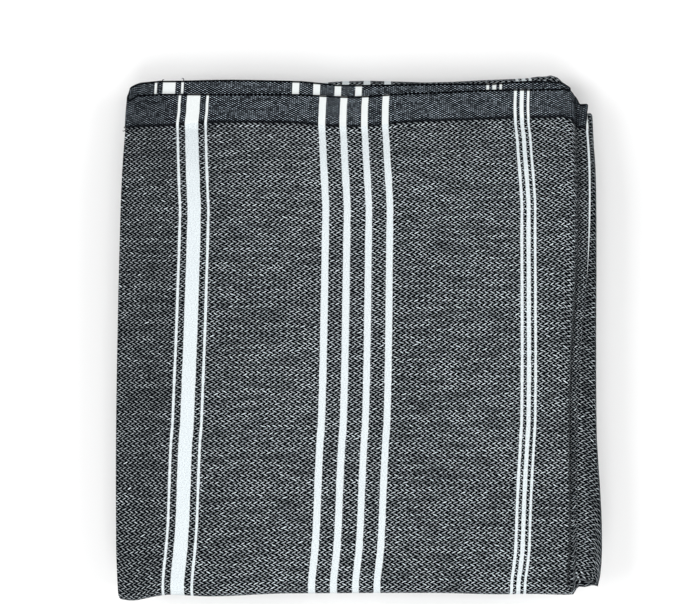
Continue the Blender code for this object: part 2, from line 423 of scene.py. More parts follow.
@dataclass(frozen=True)
class StripSection:
    """The strip's cross-section: four plies, a left fold, an inner and an outer right fold."""

    half_width: float = 0.495
    ply_pitch: float = 0.0014
    bulb_radius: float = 0.00115
    bulb_middle: float = -0.00040
    top_cuts: int = 56
    top_start: float = 0.036
    second_cuts: int = 22
    second_range: tuple[float, float] = (0.09, 0.93)
    second_slip: float = 0.0021  # how far the second ply's stripes lie behind the top ply's
    second_reach: float = 0.050
    third_cuts: int = 14
    fourth_cuts: int = 13
    fourth_start: float = 0.20
    lip_cuts: int = 15
    fold_steps: int = 7
    inner_fold_steps: int = 5
    # Where the plies are cut more closely, beside the left fold, the inner fold and the lip
    left_shares: tuple[float, ...] = (0.0, 0.003, 0.007, 0.012, 0.018, 0.025)
    inner_shares: tuple[float, ...] = (0.0, 0.01, 0.022, 0.035, 0.05)
    low_shares: tuple[float, ...] = (0.0, 0.012, 0.025, 0.040, 0.055, 0.072, 0.092, 0.120, 0.155)
    sections: tuple[Section, ...] = (
        Section(1, 0.1375, -0.1235, 0.1150, 0.1242, 0.006),
        Section(1, 0.1230, -0.1240, 0.1150, 0.1236, 0.006),
        Section(1, 0.1120, -0.1242, 0.1152, 0.1239, 0.006),
        Section(1, 0.0960, -0.1247, 0.1152, 0.1243, 0.006),
        Section(1, 0.0640, -0.1256, 0.1150, 0.1237, 0.005),
        Section(1, -0.0450, -0.1269, 0.1105, 0.1158, 0.003),
        Section(1, -0.1100, -0.1262, 0.1100, 0.1150, 0.003),
        Section(1, -0.1310, -0.1251, 0.1085, 0.1138, 0.003),
        Section(2, -0.1314, -0.1244, 0.1195, 0.1262, 0.004),
        Section(2, -0.1020, -0.1252, 0.1215, 0.1287, 0.006),
        Section(2, -0.0480, -0.1258, 0.1190, 0.1264, 0.007),
        Section(2, 0.0640, -0.1250, 0.1190, 0.1276, 0.004),
        Section(2, 0.0900, -0.1247, 0.1190, 0.1277, 0.004),
        Section(2, 0.1150, -0.1244, 0.1180, 0.1274, 0.004),
        Section(2, 0.1350, -0.1230, 0.1160, 0.1274, 0.005),
        Section(3, 0.1340, -0.1234, 0.1150, 0.1270, 0.006),
        Section(3, 0.0600, -0.1252, 0.1140, 0.1210, 0.004),
        Section(3, -0.0500, -0.1256, 0.1175, 0.1240, 0.006),
        Section(3, -0.1290, -0.1242, 0.1150, 0.1220, 0.005),
        Section(4, -0.1290, -0.1240, 0.1160, 0.1235, 0.006),
        Section(4, -0.0480, -0.1252, 0.1180, 0.1252, 0.004),
        Section(4, 0.0720, -0.1246, 0.1190, 0.1262, 0.007),
        Section(4, 0.1120, -0.1234, 0.1180, 0.1250, 0.007),
        Section(5, 0.1120, -0.1230, 0.1170, 0.1244, 0.007),
        Section(5, -0.0500, -0.1248, 0.1170, 0.1245, 0.005),
        Section(5, -0.1280, -0.1234, 0.1150, 0.1225, 0.006),
        Section(6, -0.1280, -0.1236, 0.1155, 0.1230, 0.004),
        Section(6, 0.0860, -0.1232, 0.1175, 0.1248, 0.007),
        Section(7, 0.0860, -0.1228, 0.1170, 0.1244, 0.006),
        Section(7, -0.1300, -0.1239, 0.1160, 0.1238, 0.004),
    )
    patterns: tuple[Pattern, ...] = (
        Pattern(1, 0.1275, -0.0061, 1.0151, 0.2466),
        Pattern(1, 0.1205, -0.0063, 1.0158, 0.2468),
        Pattern(1, 0.1118, -0.0056, 1.0103, 0.2483),
        Pattern(1, 0.1040, -0.0061, 1.0086, 0.2484),
        Pattern(1, 0.0930, -0.0071, 1.0103, 0.2485),
        Pattern(1, 0.0745, -0.0085, 1.0090, 0.2485),
        Pattern(1, 0.0640, -0.0093, 1.0102, 0.2485),
        Pattern(1, -0.0475, -0.0071, 0.9987, 0.2430),
        Pattern(1, -0.0590, -0.0062, 0.9984, 0.2430),
        Pattern(1, -0.0750, -0.0056, 1.0010, 0.2430),
        Pattern(1, -0.0985, -0.0047, 1.0039, 0.2420),
        Pattern(1, -0.1070, -0.0040, 1.0030, 0.2420),
        Pattern(1, -0.1145, -0.0032, 1.0018, 0.2420),
        Pattern(1, -0.1225, -0.0020, 1.0027, 0.2420),
        Pattern(1, -0.1310, -0.0010, 1.0065, 0.2420),
        Pattern(2, -0.1200, 0.0006, 1.0030, 0.2500),
        Pattern(2, -0.0480, 0.0016, 1.0000, 0.2500),
        Pattern(2, 0.1200, 0.0093, 0.9830, 0.2485),
        Pattern(3, 0.1200, 0.0093, 0.9830, 0.2485),
        Pattern(3, -0.0500, 0.0016, 1.0000, 0.2500),
        Pattern(4, -0.1100, -0.0004, 1.0000, 0.2505),
        Pattern(4, 0.0700, -0.0099, 1.0050, 0.2510),
        Pattern(5, 0.1100, -0.0089, 1.0050, 0.2505),
        Pattern(5, -0.1000, -0.0014, 1.0000, 0.2500),
        Pattern(7, -0.1300, 0.0006, 1.0000, 0.2505),
    )
    lip_line: tuple[LipPoint, ...] = (
        LipPoint(0.00, 0.00210, -0.00210, 0.95),
        LipPoint(0.12, 0.00170, -0.00205, 0.70),
        LipPoint(0.34, -0.00040, -0.00195, 0.42),
        LipPoint(0.60, 0.00050, -0.00185, 0.52),
        LipPoint(0.80, 0.00110, -0.00170, 0.66),
        LipPoint(1.00, 0.00075, -0.00155, 0.62),
    )

    def read(
        self, path: StripPath, rows: Sequence[NamedTuple], name: str, length: Array
    ) -> Array:
        """One named value of a table along the path.

        Args:
            path: The path, which says where each row lies.
            rows: Section or Pattern rows.
            name: The column.
            length: Where along the path to read it.

        Returns:
            The column's values there.
        """
        places = [path.length_at(row.leaf, row.y) for row in rows]
        return smooth_curve(places, [getattr(row, name) for row in rows], length)

    def ply(self, start: Array, end: Array, shares: Array, n: float) -> Part:
        """The x and n values of one flat ply.

        Args:
            start: Its first x, for each station.
            end: Its last x, for each station.
            shares: Where it is cut, from 0 to 1.
            n: Its height above the strip's middle.

        Returns:
            Two arrays, a row a station.
        """
        x = start[:, None] + (end - start)[:, None] * shares[None, :]
        return x, np.full_like(x, n)

    def fold(
        self, centre: tuple[Array, float], radius: float, turn: tuple[float, float], steps: int
    ) -> Part:
        """The x and n values of one round fold.

        Args:
            centre: The fold's x, for each station, and its height above the strip's middle.
            radius: The fold's radius.
            turn: The angles where it starts and ends.
            steps: How many steps it has.

        Returns:
            Two arrays, a row a station.
        """
        centre_x, centre_n = centre
        angles = np.linspace(*turn, steps + 1)[1:-1]
        x = centre_x[:, None] + radius * np.cos(angles)[None, :]
        return x, np.broadcast_to(centre_n + radius * np.sin(angles), x.shape)

    def lip_shares(self) -> Array:
        """Where an outer ply is cut beyond the inner fold, as in LipPoint."""
        return np.linspace(0.0, 1.0, self.lip_cuts + 1)[1:]

    def lip(self, inner: Array, right: Array, ply: str) -> Part:
        """An outer ply beyond the inner fold, up to where the outer fold bends round.

        Args:
            inner: The inner fold's x, for each station.
            right: The outer fold's x, for each station.
            ply: "top" or "low".

        Returns:
            Two arrays, a row a station.
        """
        x, _ = self.ply(inner, right - self.bulb_radius, self.lip_shares(), 0.0)
        return x, np.broadcast_to(self.lip_curve(ply), x.shape)

    def lip_curve(self, name: str) -> Array:
        """One named value of the lip's line, at each of its cuts."""
        return read_table(self.lip_line, "share", name, self.lip_shares())

    def parts(self, left: Array, inner: Array, right: Array, back: Array) -> list[Part]:
        """The pieces of the sheet's middle line, from the third ply's selvedge to the fourth's.

        Args:
            left: The left fold's x, for each station.
            inner: The inner fold's x, for each station.
            right: The outer fold's x, for each station.
            back: The x of both selvedges, for each station.

        Returns:
            The x and n values of each ply, fold and lip in turn.
        """
        half = self.ply_pitch / 2.0
        quarter = math.pi / 2.0
        near_left = np.array(self.left_shares)
        middle = np.linspace(*self.second_range, self.second_cuts)
        second_shares = np.concatenate([self.inner_shares, middle, 1.0 - near_left[::-1]])
        top_shares = np.concatenate([near_left, np.linspace(self.top_start, 1.0, self.top_cuts)])
        low_shares = np.concatenate(
            [self.low_shares, np.linspace(self.fourth_start, 1.0, self.fourth_cuts)]
        )
        bulb = (right - self.bulb_radius, self.bulb_middle)
        low_x, low_n = self.lip(inner, right, "low")
        return [
            self.ply(back, inner - half, np.linspace(0, 1, self.third_cuts), -half),
            self.fold((inner - half, 0.0), half, (-quarter, quarter), self.inner_fold_steps),
            self.ply(inner - half, left + half, second_shares, half),
            self.fold((left + half, 2 * half), half, (-quarter, -3 * quarter), self.fold_steps),
            self.ply(left + half, inner, top_shares, 3 * half),
            self.lip(inner, right, "top"),
            self.fold(bulb, self.bulb_radius, (quarter, -quarter), self.fold_steps),
            (low_x[:, ::-1], low_n[:, ::-1]),
            self.ply(inner, back, low_shares, -3 * half),
        ]

    def across(self, path: StripPath, stations: Stations) -> Across:
        """The sheet's middle line at every station.

        The line runs from the third ply's selvedge by way of the second ply, the left fold and the
        top ply to the fourth ply's selvedge.

        Args:
            path: The strip's path.
            stations: The stations along it.

        Returns:
            The middle line.
        """
        length = stations.length
        left, inner, right, selvedge = (
            self.read(path, self.sections, name, length)
            for name in ("left", "inner", "right", "selvedge")
        )
        parts = self.parts(left, inner, right, left + selvedge)
        x = np.concatenate([part[0] for part in parts], axis=1)
        n = np.concatenate([part[1] for part in parts], axis=1)
        ends = np.cumsum([part[0].shape[1] for part in parts])
        third_end, inner_end, second_end, left_end, top_end, lip_end, bulb_end, low_end, _ = ends
        # Painted shade of the lips and the outer fold, as in LipPoint, on the flat cloth's 1.
        tone = np.ones(x.shape[1])
        tone[top_end:lip_end] = self.lip_curve("tone")
        tone[lip_end:low_end] = self.lip_line[-1].tone
        inner_fold = (third_end + inner_end) // 2
        left_fold = (second_end + left_end) // 2
        right_fold = (lip_end + bulb_end) // 2

        share = (x - left[:, None]) / (right - left)[:, None]
        across = np.concatenate(
            [
                share[:, :inner_fold] - 2.0,
                -share[:, inner_fold:left_fold],
                share[:, left_fold:right_fold],
                2.0 - share[:, right_fold:],
            ],
            axis=1,
        )
        along_x = np.gradient(x, axis=1)
        along_n = np.gradient(n, axis=1)
        size = np.hypot(along_x, along_n)
        steps = np.hypot(np.diff(x, axis=1), np.diff(n, axis=1))
        run = np.concatenate([np.zeros((len(x), 1)), np.cumsum(steps, axis=1)], axis=1)
        folds = (inner_fold, left_fold, top_end, right_fold)
        u = self.pattern_places(path, length, x, run, folds)
        return Across(x, n, -along_n / size, along_x / size, across, u, tone)

    def pattern_places(
        self, path: StripPath, length: Array, x: Array, run: Array, folds: tuple[int, ...]
    ) -> Array:
        """The U of every cut. The two hidden plies take up what is left of the cloth's width.

        Args:
            path: The strip's path.
            length: Where along it each station is.
            x: The x of every cut.
            run: The length of the middle line before each cut.
            folds: The columns of the inner fold, the left fold, the start of the lip and the outer
                right fold.

        Returns:
            The U values.
        """
        inner_fold, left_fold, lip, right_fold = folds
        left_u, rate, right_u = (
            self.read(path, self.patterns, name, length) for name in ("left_u", "rate", "right_u")
        )
        u = left_u[:, None] + rate[:, None] * (run - run[:, left_fold, None])
        behind = np.clip((x - x[:, left_fold, None]) / self.second_reach, 0.0, 1.0)
        u[:, :left_fold] -= self.second_slip * behind[:, :left_fold]
        from_left = x[:, left_fold:lip] - x[:, left_fold, None]
        u[:, left_fold:lip] = left_u[:, None] + rate[:, None] * from_left
        stretches = (
            (0, inner_fold, np.full_like(left_u, -self.half_width), u[:, inner_fold].copy()),
            (lip - 1, right_fold, u[:, lip - 1].copy(), right_u),
            (right_fold, run.shape[1] - 1, right_u, np.full_like(left_u, self.half_width)),
        )
        for start, end, first_u, last_u in stretches:
            span = run[:, start : end + 1] - run[:, start, None]
            share = span / span[:, -1:]
            u[:, start : end + 1] = first_u[:, None] + share * (last_u - first_u)[:, None]
        return u


@dataclass(frozen=True)
class SoftShape:
    """What makes a soft bundle of the regular folds. It never turns one ply through another."""

    near_end: float = -0.1370
    far_end: float = 0.1410
    wave_fade: float = 0.070
    layout_middle: tuple[float, float] = (0.0008, 0.0006)
    sag_full_height: float = 0.0112
    top_height: float = 0.0386
    left_edge: float = -0.1270
    left_roll: float = 0.0085  # from the left edge, over which the bundle rolls down to it
    left_roll_most: float = 1.3
    left_drop: float = 0.050  # of the height
    left_slope: float = 0.0300
    left_fall: float = 0.012
    crease_reach: float = 0.010  # how deep below the top leaf a crease dies away
    crease_taper: float = 0.2  # of its length, at each end
    waves: tuple[EndWave, ...] = (
        EndWave(-0.1280, 0.0026, -0.0040),
        EndWave(-0.1180, 0.0040, -0.0016),
        EndWave(-0.1070, 0.0020, -0.0006),
        EndWave(-0.0990, 0.0009, 0.0000),
        EndWave(-0.0780, 0.0018, 0.0000),
        EndWave(-0.0350, 0.0002, -0.0003),
        EndWave(0.0400, 0.0000, -0.0007),
        EndWave(0.0750, 0.0007, 0.0000),
        EndWave(0.0900, 0.0005, 0.0006),
        EndWave(0.1128, 0.0010, -0.0010),
        EndWave(0.1146, -0.0024, -0.0012),
        EndWave(0.1200, -0.0018, -0.0020),
        EndWave(0.1240, -0.0012, -0.0024),
        EndWave(0.1266, 0.0022, -0.0026),
        EndWave(0.1300, 0.0115, -0.0030),
    )
    slips: tuple[Slip, ...] = (
        Slip(-0.1280, -0.0060),
        Slip(-0.1000, -0.0042),
        Slip(-0.0300, -0.0036),
        Slip(-0.0160, -0.0022),
        Slip(0.0060, -0.0013),
        Slip(0.0400, -0.0022),
        Slip(0.0740, -0.0014),
        Slip(0.0830, -0.0014),
        Slip(0.0882, -0.0014),
        Slip(0.0936, -0.0010),
        Slip(0.0990, 0.0002),
        Slip(0.1044, 0.0007),
        Slip(0.1071, 0.0019),
        Slip(0.1087, 0.0021),
        Slip(0.1098, 0.0005),
        Slip(0.1114, -0.0014),
        Slip(0.1130, -0.0022),
        Slip(0.1160, -0.0060),
        Slip(0.1200, -0.0140),
        Slip(0.1238, -0.0181),
        Slip(0.1260, -0.0177),
        Slip(0.1280, -0.0168),
    )
    slip_fade: tuple[float, float] = (0.070, 0.141)
    sags: tuple[Sag, ...] = (
        Sag(0.0700, 0.0000),
        Sag(0.0871, 0.0014),
        Sag(0.1020, 0.0050),
        Sag(0.1163, 0.0086),
        Sag(0.1420, 0.0125),
    )
    ripples: tuple[Ripple, ...] = (
        Ripple(9.0, 4.0, 0.4, 0.0040),
        Ripple(-5.0, 11.0, 2.1, 0.0045),
        Ripple(17.0, -6.0, 4.4, 0.0022),
        Ripple(4.0, 21.0, 1.2, 0.0020),
        Ripple(24.0, 15.0, 5.3, 0.0012),
    )
    creases: tuple[Crease, ...] = (
        Crease((-0.118, 0.1105), (0.112, 0.1160), 0.0022, -0.00035),
        Crease((-0.124, 0.098), (-0.020, 0.085), 0.010, 0.00045),
        Crease((-0.050, 0.104), (0.070, 0.090), 0.012, -0.00040),
        Crease((0.020, 0.070), (0.118, 0.098), 0.011, 0.00045),
        Crease((-0.126, 0.040), (-0.030, 0.055), 0.014, -0.00050),
        Crease((-0.020, 0.015), (0.110, 0.030), 0.016, 0.00050),
        Crease((-0.120, -0.030), (0.000, -0.018), 0.015, 0.00045),
        Crease((0.010, -0.045), (0.112, -0.030), 0.013, -0.00045),
        Crease((-0.124, -0.085), (-0.060, -0.070), 0.010, -0.00040),
        Crease((-0.040, -0.100), (0.090, -0.086), 0.014, 0.00045),
        Crease((-0.116, -0.118), (-0.085, -0.137), 0.006, 0.00060),
        Crease((-0.100, -0.110), (-0.070, -0.137), 0.007, -0.00045),
        Crease((0.040, -0.122), (0.112, -0.126), 0.009, -0.00035),
    )

    def waved(self, x: Array, y: Array) -> Array:
        """The y of points once the two ends wander in and out.

        Args:
            x: The points' x.
            y: The points' y.

        Returns:
            The new y.
        """
        near = read_table(self.waves, "x", "near", x)
        far = read_table(self.waves, "x", "far", x)
        near_share = 1.0 - smoothstep(y, self.near_end, self.near_end + self.wave_fade)
        far_share = smoothstep(y, self.far_end - self.wave_fade, self.far_end)
        return y - near_share * near + far_share * far

    def slipped(self, leaf: Array, x: Array, y: Array) -> Array:
        """The y of points once the far turn of leaves 2 and 3 has slipped in or out.

        Args:
            leaf: The points' leaf number.
            x: The points' x.
            y: The points' y.

        Returns:
            The new y.
        """
        shift = read_table(self.slips, "x", "shift", x)
        second_or_third = (leaf > 1) & (leaf < 4)
        return y + second_or_third * shift * smoothstep(y, *self.slip_fade)

    def sagged(self, y: Array, z: Array) -> Array:
        """The z of points once the far end has come down.

        Args:
            y: The points' y.
            z: The points' z.

        Returns:
            The new z. What lies lowest stays on the ground.
        """
        depth = read_table(self.sags, "y", "depth", y)
        return z - depth * np.clip(z / self.sag_full_height, 0.0, 1.0)

    def settled(self, x: Array, y: Array, z: Array) -> Array:
        """The z of points once the leaves roll over at the left and are nowhere quite flat.

        Args:
            x: The points' x.
            y: The points' y.
            z: The points' z.

        Returns:
            The new z.
        """
        roll = np.clip(1.0 - (x - self.left_edge) / self.left_roll, 0.0, self.left_roll_most) ** 2
        slope = 1.0 - smoothstep(x, self.left_edge, self.left_edge + self.left_slope)
        share = 1.0 - self.left_drop * roll - self.left_fall * slope
        for ripple in self.ripples:
            angle = math.tau * (ripple.waves_x * x + ripple.waves_y * y) + ripple.phase
            share = share + ripple.height * np.sin(angle)
        return z * share

    def creased(self, x: Array, y: Array, z: Array, top: Array) -> Array:
        """The z of points once the creases are pressed into the upper leaves.

        Args:
            x: The points' x.
            y: The points' y.
            z: The points' z.
            top: The height of the top leaf there.

        Returns:
            The new z.
        """
        height = np.zeros_like(z)
        for crease in self.creases:
            run_x = crease.end[0] - crease.start[0]
            run_y = crease.end[1] - crease.start[1]
            reach = math.hypot(run_x, run_y)
            from_x = x - crease.start[0]
            from_y = y - crease.start[1]
            along = (from_x * run_x + from_y * run_y) / reach
            aside = (from_y * run_x - from_x * run_y) / reach
            taper = self.crease_taper * reach
            beyond = along - np.clip(along, taper, reach - taper)
            fade = np.exp(-((beyond / taper) ** 2))
            height += crease.height * np.exp(-((aside / crease.width) ** 2)) * fade
        depth = np.maximum(0.0, top - z)
        return z + height * np.exp(-depth / self.crease_reach)

    def place(self, x: Array, y: Array, z: Array) -> Array:
        """Where points of the regular folds lie in the soft bundle.

        Args:
            x: The points' x.
            y: The points' y.
            z: The points' z.

        Returns:
            An array with x, y and z in its last axis, in the part's frame.
        """
        y = self.waved(x, y)
        top = self.sagged(y, np.full_like(z, self.top_height))
        z = self.settled(x, y, self.creased(x, y, self.sagged(y, z), top))
        middle_x, middle_y = self.layout_middle
        return np.stack([x - middle_x, y - middle_y, z], axis=-1)


# ---- Node trees ----


class Graph:
    """A node tree, with short ways to add nodes and join them."""

    def __init__(self, tree: bpy.types.NodeTree) -> None:
        """Keeps the tree that nodes are added to."""
        self.tree = tree

    def join(self, value: Input, socket: Socket) -> None:
        """Links a socket, or sets a constant, on an input.

        Args:
            value: An output socket, a number or a colour.
            socket: The input.
        """
        if isinstance(value, bpy.types.NodeSocket):
            self.tree.links.new(value, socket)
        else:
            socket.default_value = value

    def add(
        self, kind: str, given: dict[str | int, Input], output: str | int = 0, **settings: object
    ) -> Socket:
        """Adds a shader node.

        Args:
            kind: Its type.
            given: What goes into its inputs, by their names or numbers.
            output: The name or number of the output that is wanted.
            settings: The node's own settings.

        Returns:
            That output.
        """
        node = self.tree.nodes.new(kind)
        for name, value in settings.items():
            setattr(node, name, value)
        for name, value in given.items():
            self.join(value, node.inputs[name])
        return node.outputs[output]

    def math(self, operation: str, *values: Socket | float, clamp: bool = False) -> Socket:
        """Adds a Math node.

        Args:
            operation: Its operation.
            values: The values it works on.
            clamp: Whether the result is kept from 0 to 1.

        Returns:
            Its output.
        """
        given = dict(enumerate(values))
        return self.add("ShaderNodeMath", given, operation=operation, use_clamp=clamp)

    def times(self, first: Socket | float, second: Socket | float) -> Socket:
        """Multiplies two values."""
        return self.math("MULTIPLY", first, second)

    def plus(self, first: Socket | float, second: Socket | float) -> Socket:
        """Adds two values."""
        return self.math("ADD", first, second)

    def minus(self, first: Socket | float, second: Socket | float) -> Socket:
        """Takes the second value from the first."""
        return self.math("SUBTRACT", first, second)

    def times_plus(
        self, first: Socket | float, second: Socket | float, third: Socket | float
    ) -> Socket:
        """Multiplies the first two values and adds the third."""
        return self.math("MULTIPLY_ADD", first, second, third)

    def apart(self, first: Socket, second: Socket | float) -> Socket:
        """How far apart two values are."""
        return self.math("ABSOLUTE", self.minus(first, second))

    def cells(self, value: Socket) -> tuple[Socket, Socket]:
        """Splits a value into its cell's number and its distance from the middle of that cell."""
        number = self.math("FLOOR", value)
        return number, self.minus(self.minus(value, number), 0.5)

    def ramp(
        self,
        value: Socket,
        start: float,
        end: float,
        low: Socket | float = 0.0,
        high: Socket | float = 1.0,
    ) -> Socket:
        """Adds a smooth Map Range node, which keeps its end values outside its range.

        Args:
            value: What it reads.
            start: Where the rise starts.
            end: Where it ends. It may lie below start, for a fall.
            low: The value at start.
            high: The value at end.

        Returns:
            Its output.
        """
        if end < start:
            start, end, low, high = end, start, high, low
        given = {"Value": value, "From Min": start, "From Max": end, "To Min": low, "To Max": high}
        return self.add("ShaderNodeMapRange", given, "Result", interpolation_type="SMOOTHSTEP")

    def point(self, x: Socket | float, y: Socket | float, z: Socket | float = 0.0) -> Socket:
        """Adds a Combine XYZ node."""
        return self.add("ShaderNodeCombineXYZ", {0: x, 1: y, 2: z})

    def noise(self, place: Socket, scale: float) -> Socket:
        """Adds a Noise Texture node, with values round 0.5, and `scale` blotches to a unit."""
        given = {"Vector": place, "Scale": scale, "Detail": NOISE_LAYERS}
        return self.add("ShaderNodeTexNoise", given, "Fac", noise_dimensions="2D")

    def stretched_noise(self, x: Socket, y: Socket, scales: tuple[float, float]) -> Socket:
        """Adds a Noise Texture node with its own count of blotches to a unit of X and of Y."""
        return self.noise(self.point(self.times(x, scales[0]), self.times(y, scales[1])), 1.0)

    def chance(self, place: Socket) -> Socket:
        """Adds a White Noise node, which gives one even value from 0 to 1 to each place."""
        return self.add("ShaderNodeTexWhiteNoise", {"Vector": place}, "Value", noise_dimensions="2D")

    def blend(self, share: Socket, first: Socket | Colour, second: Socket | Colour) -> Socket:
        """Adds a Mix node that goes from the first colour to the second one as share rises."""
        given = {"Factor": share, MIX_FIRST: first, MIX_SECOND: second}
        return self.add("ShaderNodeMix", given, MIX_RESULT, data_type="RGBA")

    def bump(self, height: Socket, strength: float, distance: float) -> Socket:
        """Adds a Bump node, where a height of 1 is as high as distance."""
        given = {"Strength": strength, "Distance": distance, "Height": height}
        return self.add("ShaderNodeBump", given)

    def split(self, place: Socket) -> tuple[Socket, Socket]:
        """Adds a Separate XYZ node, and gives its X and its Y."""
        node = self.tree.nodes.new("ShaderNodeSeparateXYZ")
        self.join(place, node.inputs[0])
        return node.outputs[0], node.outputs[1]

    def read_map(self, name: str) -> tuple[Socket, Socket]:
        """Adds a UV Map node, and gives the two values of that map."""
        return self.split(self.add("ShaderNodeUVMap", {}, uv_map=name))

    def use(self, group: bpy.types.NodeTree, **values: Socket | float) -> dict[str, Socket]:
        """Places a node group.

        Args:
            group: The group.
            values: A socket or a number for each of its inputs.

        Returns:
            Its outputs by name.
        """
        node = self.tree.nodes.new("ShaderNodeGroup")
        node.node_tree = group
        for name, value in values.items():
            self.join(value, node.inputs[name])
        return {socket.name: socket for socket in node.outputs}


@dataclass(frozen=True)
class GroupMaker:
    """Starts a shader node group with named inputs and outputs."""

    name: str
    inputs: tuple[str, ...]
    outputs: tuple[str, ...]

    def start(self) -> tuple[Graph, dict[str, Socket], bpy.types.Node]:
        """Makes the group and its two end nodes.

        Returns:
            The group's graph, its inputs by name, and its output node.
        """
        tree = bpy.data.node_groups.new(self.name, "ShaderNodeTree")
        for name in self.inputs:
            tree.interface.new_socket(name, in_out="INPUT", socket_type="NodeSocketFloat")
        for name in self.outputs:
            tree.interface.new_socket(name, in_out="OUTPUT", socket_type="NodeSocketFloat")
        given = tree.nodes.new("NodeGroupInput")
        result = tree.nodes.new("NodeGroupOutput")
        return Graph(tree), {socket.name: socket for socket in given.outputs}, result


@dataclass(frozen=True)
class HerringboneRows:
    """Rows of short slanting floats, leaning one way and the other, with dark gaps between them."""

    pitch: float = 0.00300
    row: float = 0.00129
    slant: float = math.radians(25.0)
    offset: float = 0.54  # of the pitch, from one row to the next
    margin: float = 0.020  # each side of the centre fold, where the weave is closer
    closer: float = 0.11
    gap_length: float = 0.00140
    gap_height: float = 0.00053
    gap_rim: Rise = Rise(0.96, 1.24)
    float_length: float = 0.00142
    float_height: float = 0.00026
    float_rim: Rise = Rise(1.15, 0.50)
    wander: float = 0.40  # of a row, up and down
    wander_scale: float = 170.0
    drift: float = 0.6  # of the pitch, sideways
    drift_scale: float = 240.0
    jitter: float = 0.16  # of the pitch, from row to row
    jitter_seed: float = 3.0

    def slanted(
        self, graph: Graph, x: Socket, y: Socket, lean: Socket, size: tuple[float, float]
    ) -> Socket:
        """The distance from the middle of a slanting oval, which is 1 on its rim.

        Args:
            graph: The graph to work in.
            x: The distance from its middle across the cloth.
            y: The distance from its middle along the cloth.
            lean: 1 or -1, for the way it leans.
            size: Half its length and half its width.

        Returns:
            The distance.
        """
        sine, cosine = math.sin(self.slant), math.cos(self.slant)
        lift = graph.times(y, lean)
        long_way = graph.times_plus(lift, sine, graph.times(x, cosine))
        short_way = graph.times_plus(x, -sine, graph.times(lift, cosine))
        long_share = graph.math("DIVIDE", long_way, size[0])
        short_share = graph.math("DIVIDE", short_way, size[1])
        squares = graph.times_plus(long_share, long_share, graph.times(short_share, short_share))
        return graph.math("SQRT", squares)

    def group(self) -> bpy.types.NodeTree:
        """Builds the node group.

        Returns:
            A group that turns U and V into the net of threads, its floats, a value for each float,
            and the row's number.
        """
        graph, given, result = GroupMaker(
            "herringbone_rows", ("U", "V"), ("Thread", "Float", "Chance", "Row")
        ).start()
        place = graph.point(given["U"], given["V"])
        wander = graph.minus(graph.noise(place, self.wander_scale), 0.5)
        rows = graph.times_plus(wander, self.wander, graph.math("DIVIDE", given["V"], self.row))
        row, from_row = graph.cells(rows)
        odd = graph.math("FLOORED_MODULO", row, 2.0)
        lean = graph.times_plus(odd, 2.0, -1.0)
        jitter = graph.times(graph.chance(graph.point(row, self.jitter_seed)), self.jitter)
        drift = graph.times(graph.noise(place, self.drift_scale), self.drift)
        beside = graph.math("MINIMUM", given["U"], self.margin)
        beside = graph.math("MAXIMUM", beside, -self.margin)
        stretched = graph.times_plus(beside, self.closer, given["U"])
        columns = graph.math("DIVIDE", stretched, self.pitch)
        columns = graph.times_plus(odd, self.offset, columns)
        columns = graph.plus(columns, graph.plus(jitter, drift))
        y = graph.times(from_row, self.row)

        _, from_gap = graph.cells(columns)
        x = graph.times(from_gap, self.pitch)
        gap = self.slanted(graph, x, y, lean, (self.gap_length, self.gap_height))
        crown, from_crown = graph.cells(graph.plus(columns, 0.5))
        x = graph.times(from_crown, self.pitch)
        bright = self.slanted(graph, x, y, lean, (self.float_length, self.float_height))

        graph.join(graph.ramp(gap, *self.gap_rim), result.inputs["Thread"])
        graph.join(graph.ramp(bright, *self.float_rim), result.inputs["Float"])
        graph.join(graph.chance(graph.point(crown, row)), result.inputs["Chance"])
        graph.join(row, result.inputs["Row"])
        return graph.tree


@dataclass(frozen=True)
class HemDots:
    """The close plain weave of the hems, with a pale dot where each thread comes up."""

    pitch: float = 0.00225
    rise: float = 0.00119
    wander: float = 0.40  # of the rise
    wander_scale: float = 220.0
    steady: float = 0.35  # how much of the wander the columns follow
    dot_edge: Rise = Rise(0.05, 0.85)
    lump_edge: Rise = Rise(0.50, 1.00)

    def group(self) -> bpy.types.NodeTree:
        """Builds the node group.

        Returns:
            A group that turns U and V into the dots and a value each.
        """
        graph, given, result = GroupMaker("hem_dots", ("U", "V"), ("Dot", "Chance")).start()
        place = graph.point(given["U"], given["V"])
        wander = graph.times(graph.noise(place, self.wander_scale), self.wander)
        steady = graph.times(wander, self.steady)
        columns = graph.plus(graph.math("DIVIDE", given["U"], self.pitch), steady)
        rows = graph.plus(graph.math("DIVIDE", given["V"], self.rise), wander)
        across = graph.math("COSINE", graph.times(columns, math.tau))
        along = graph.math("COSINE", graph.times(rows, math.tau))
        across = graph.times(across, graph.math("SIGN", along))
        lump = graph.ramp(graph.math("ABSOLUTE", along), *self.lump_edge)
        dot = graph.times(graph.ramp(across, *self.dot_edge), lump)
        graph.join(dot, result.inputs["Dot"])
        cell = graph.point(
            graph.math("ROUND", graph.times(columns, 2.0)),
            graph.math("ROUND", graph.times(rows, 2.0)),
        )
        graph.join(graph.chance(cell), result.inputs["Chance"])
        return graph.tree


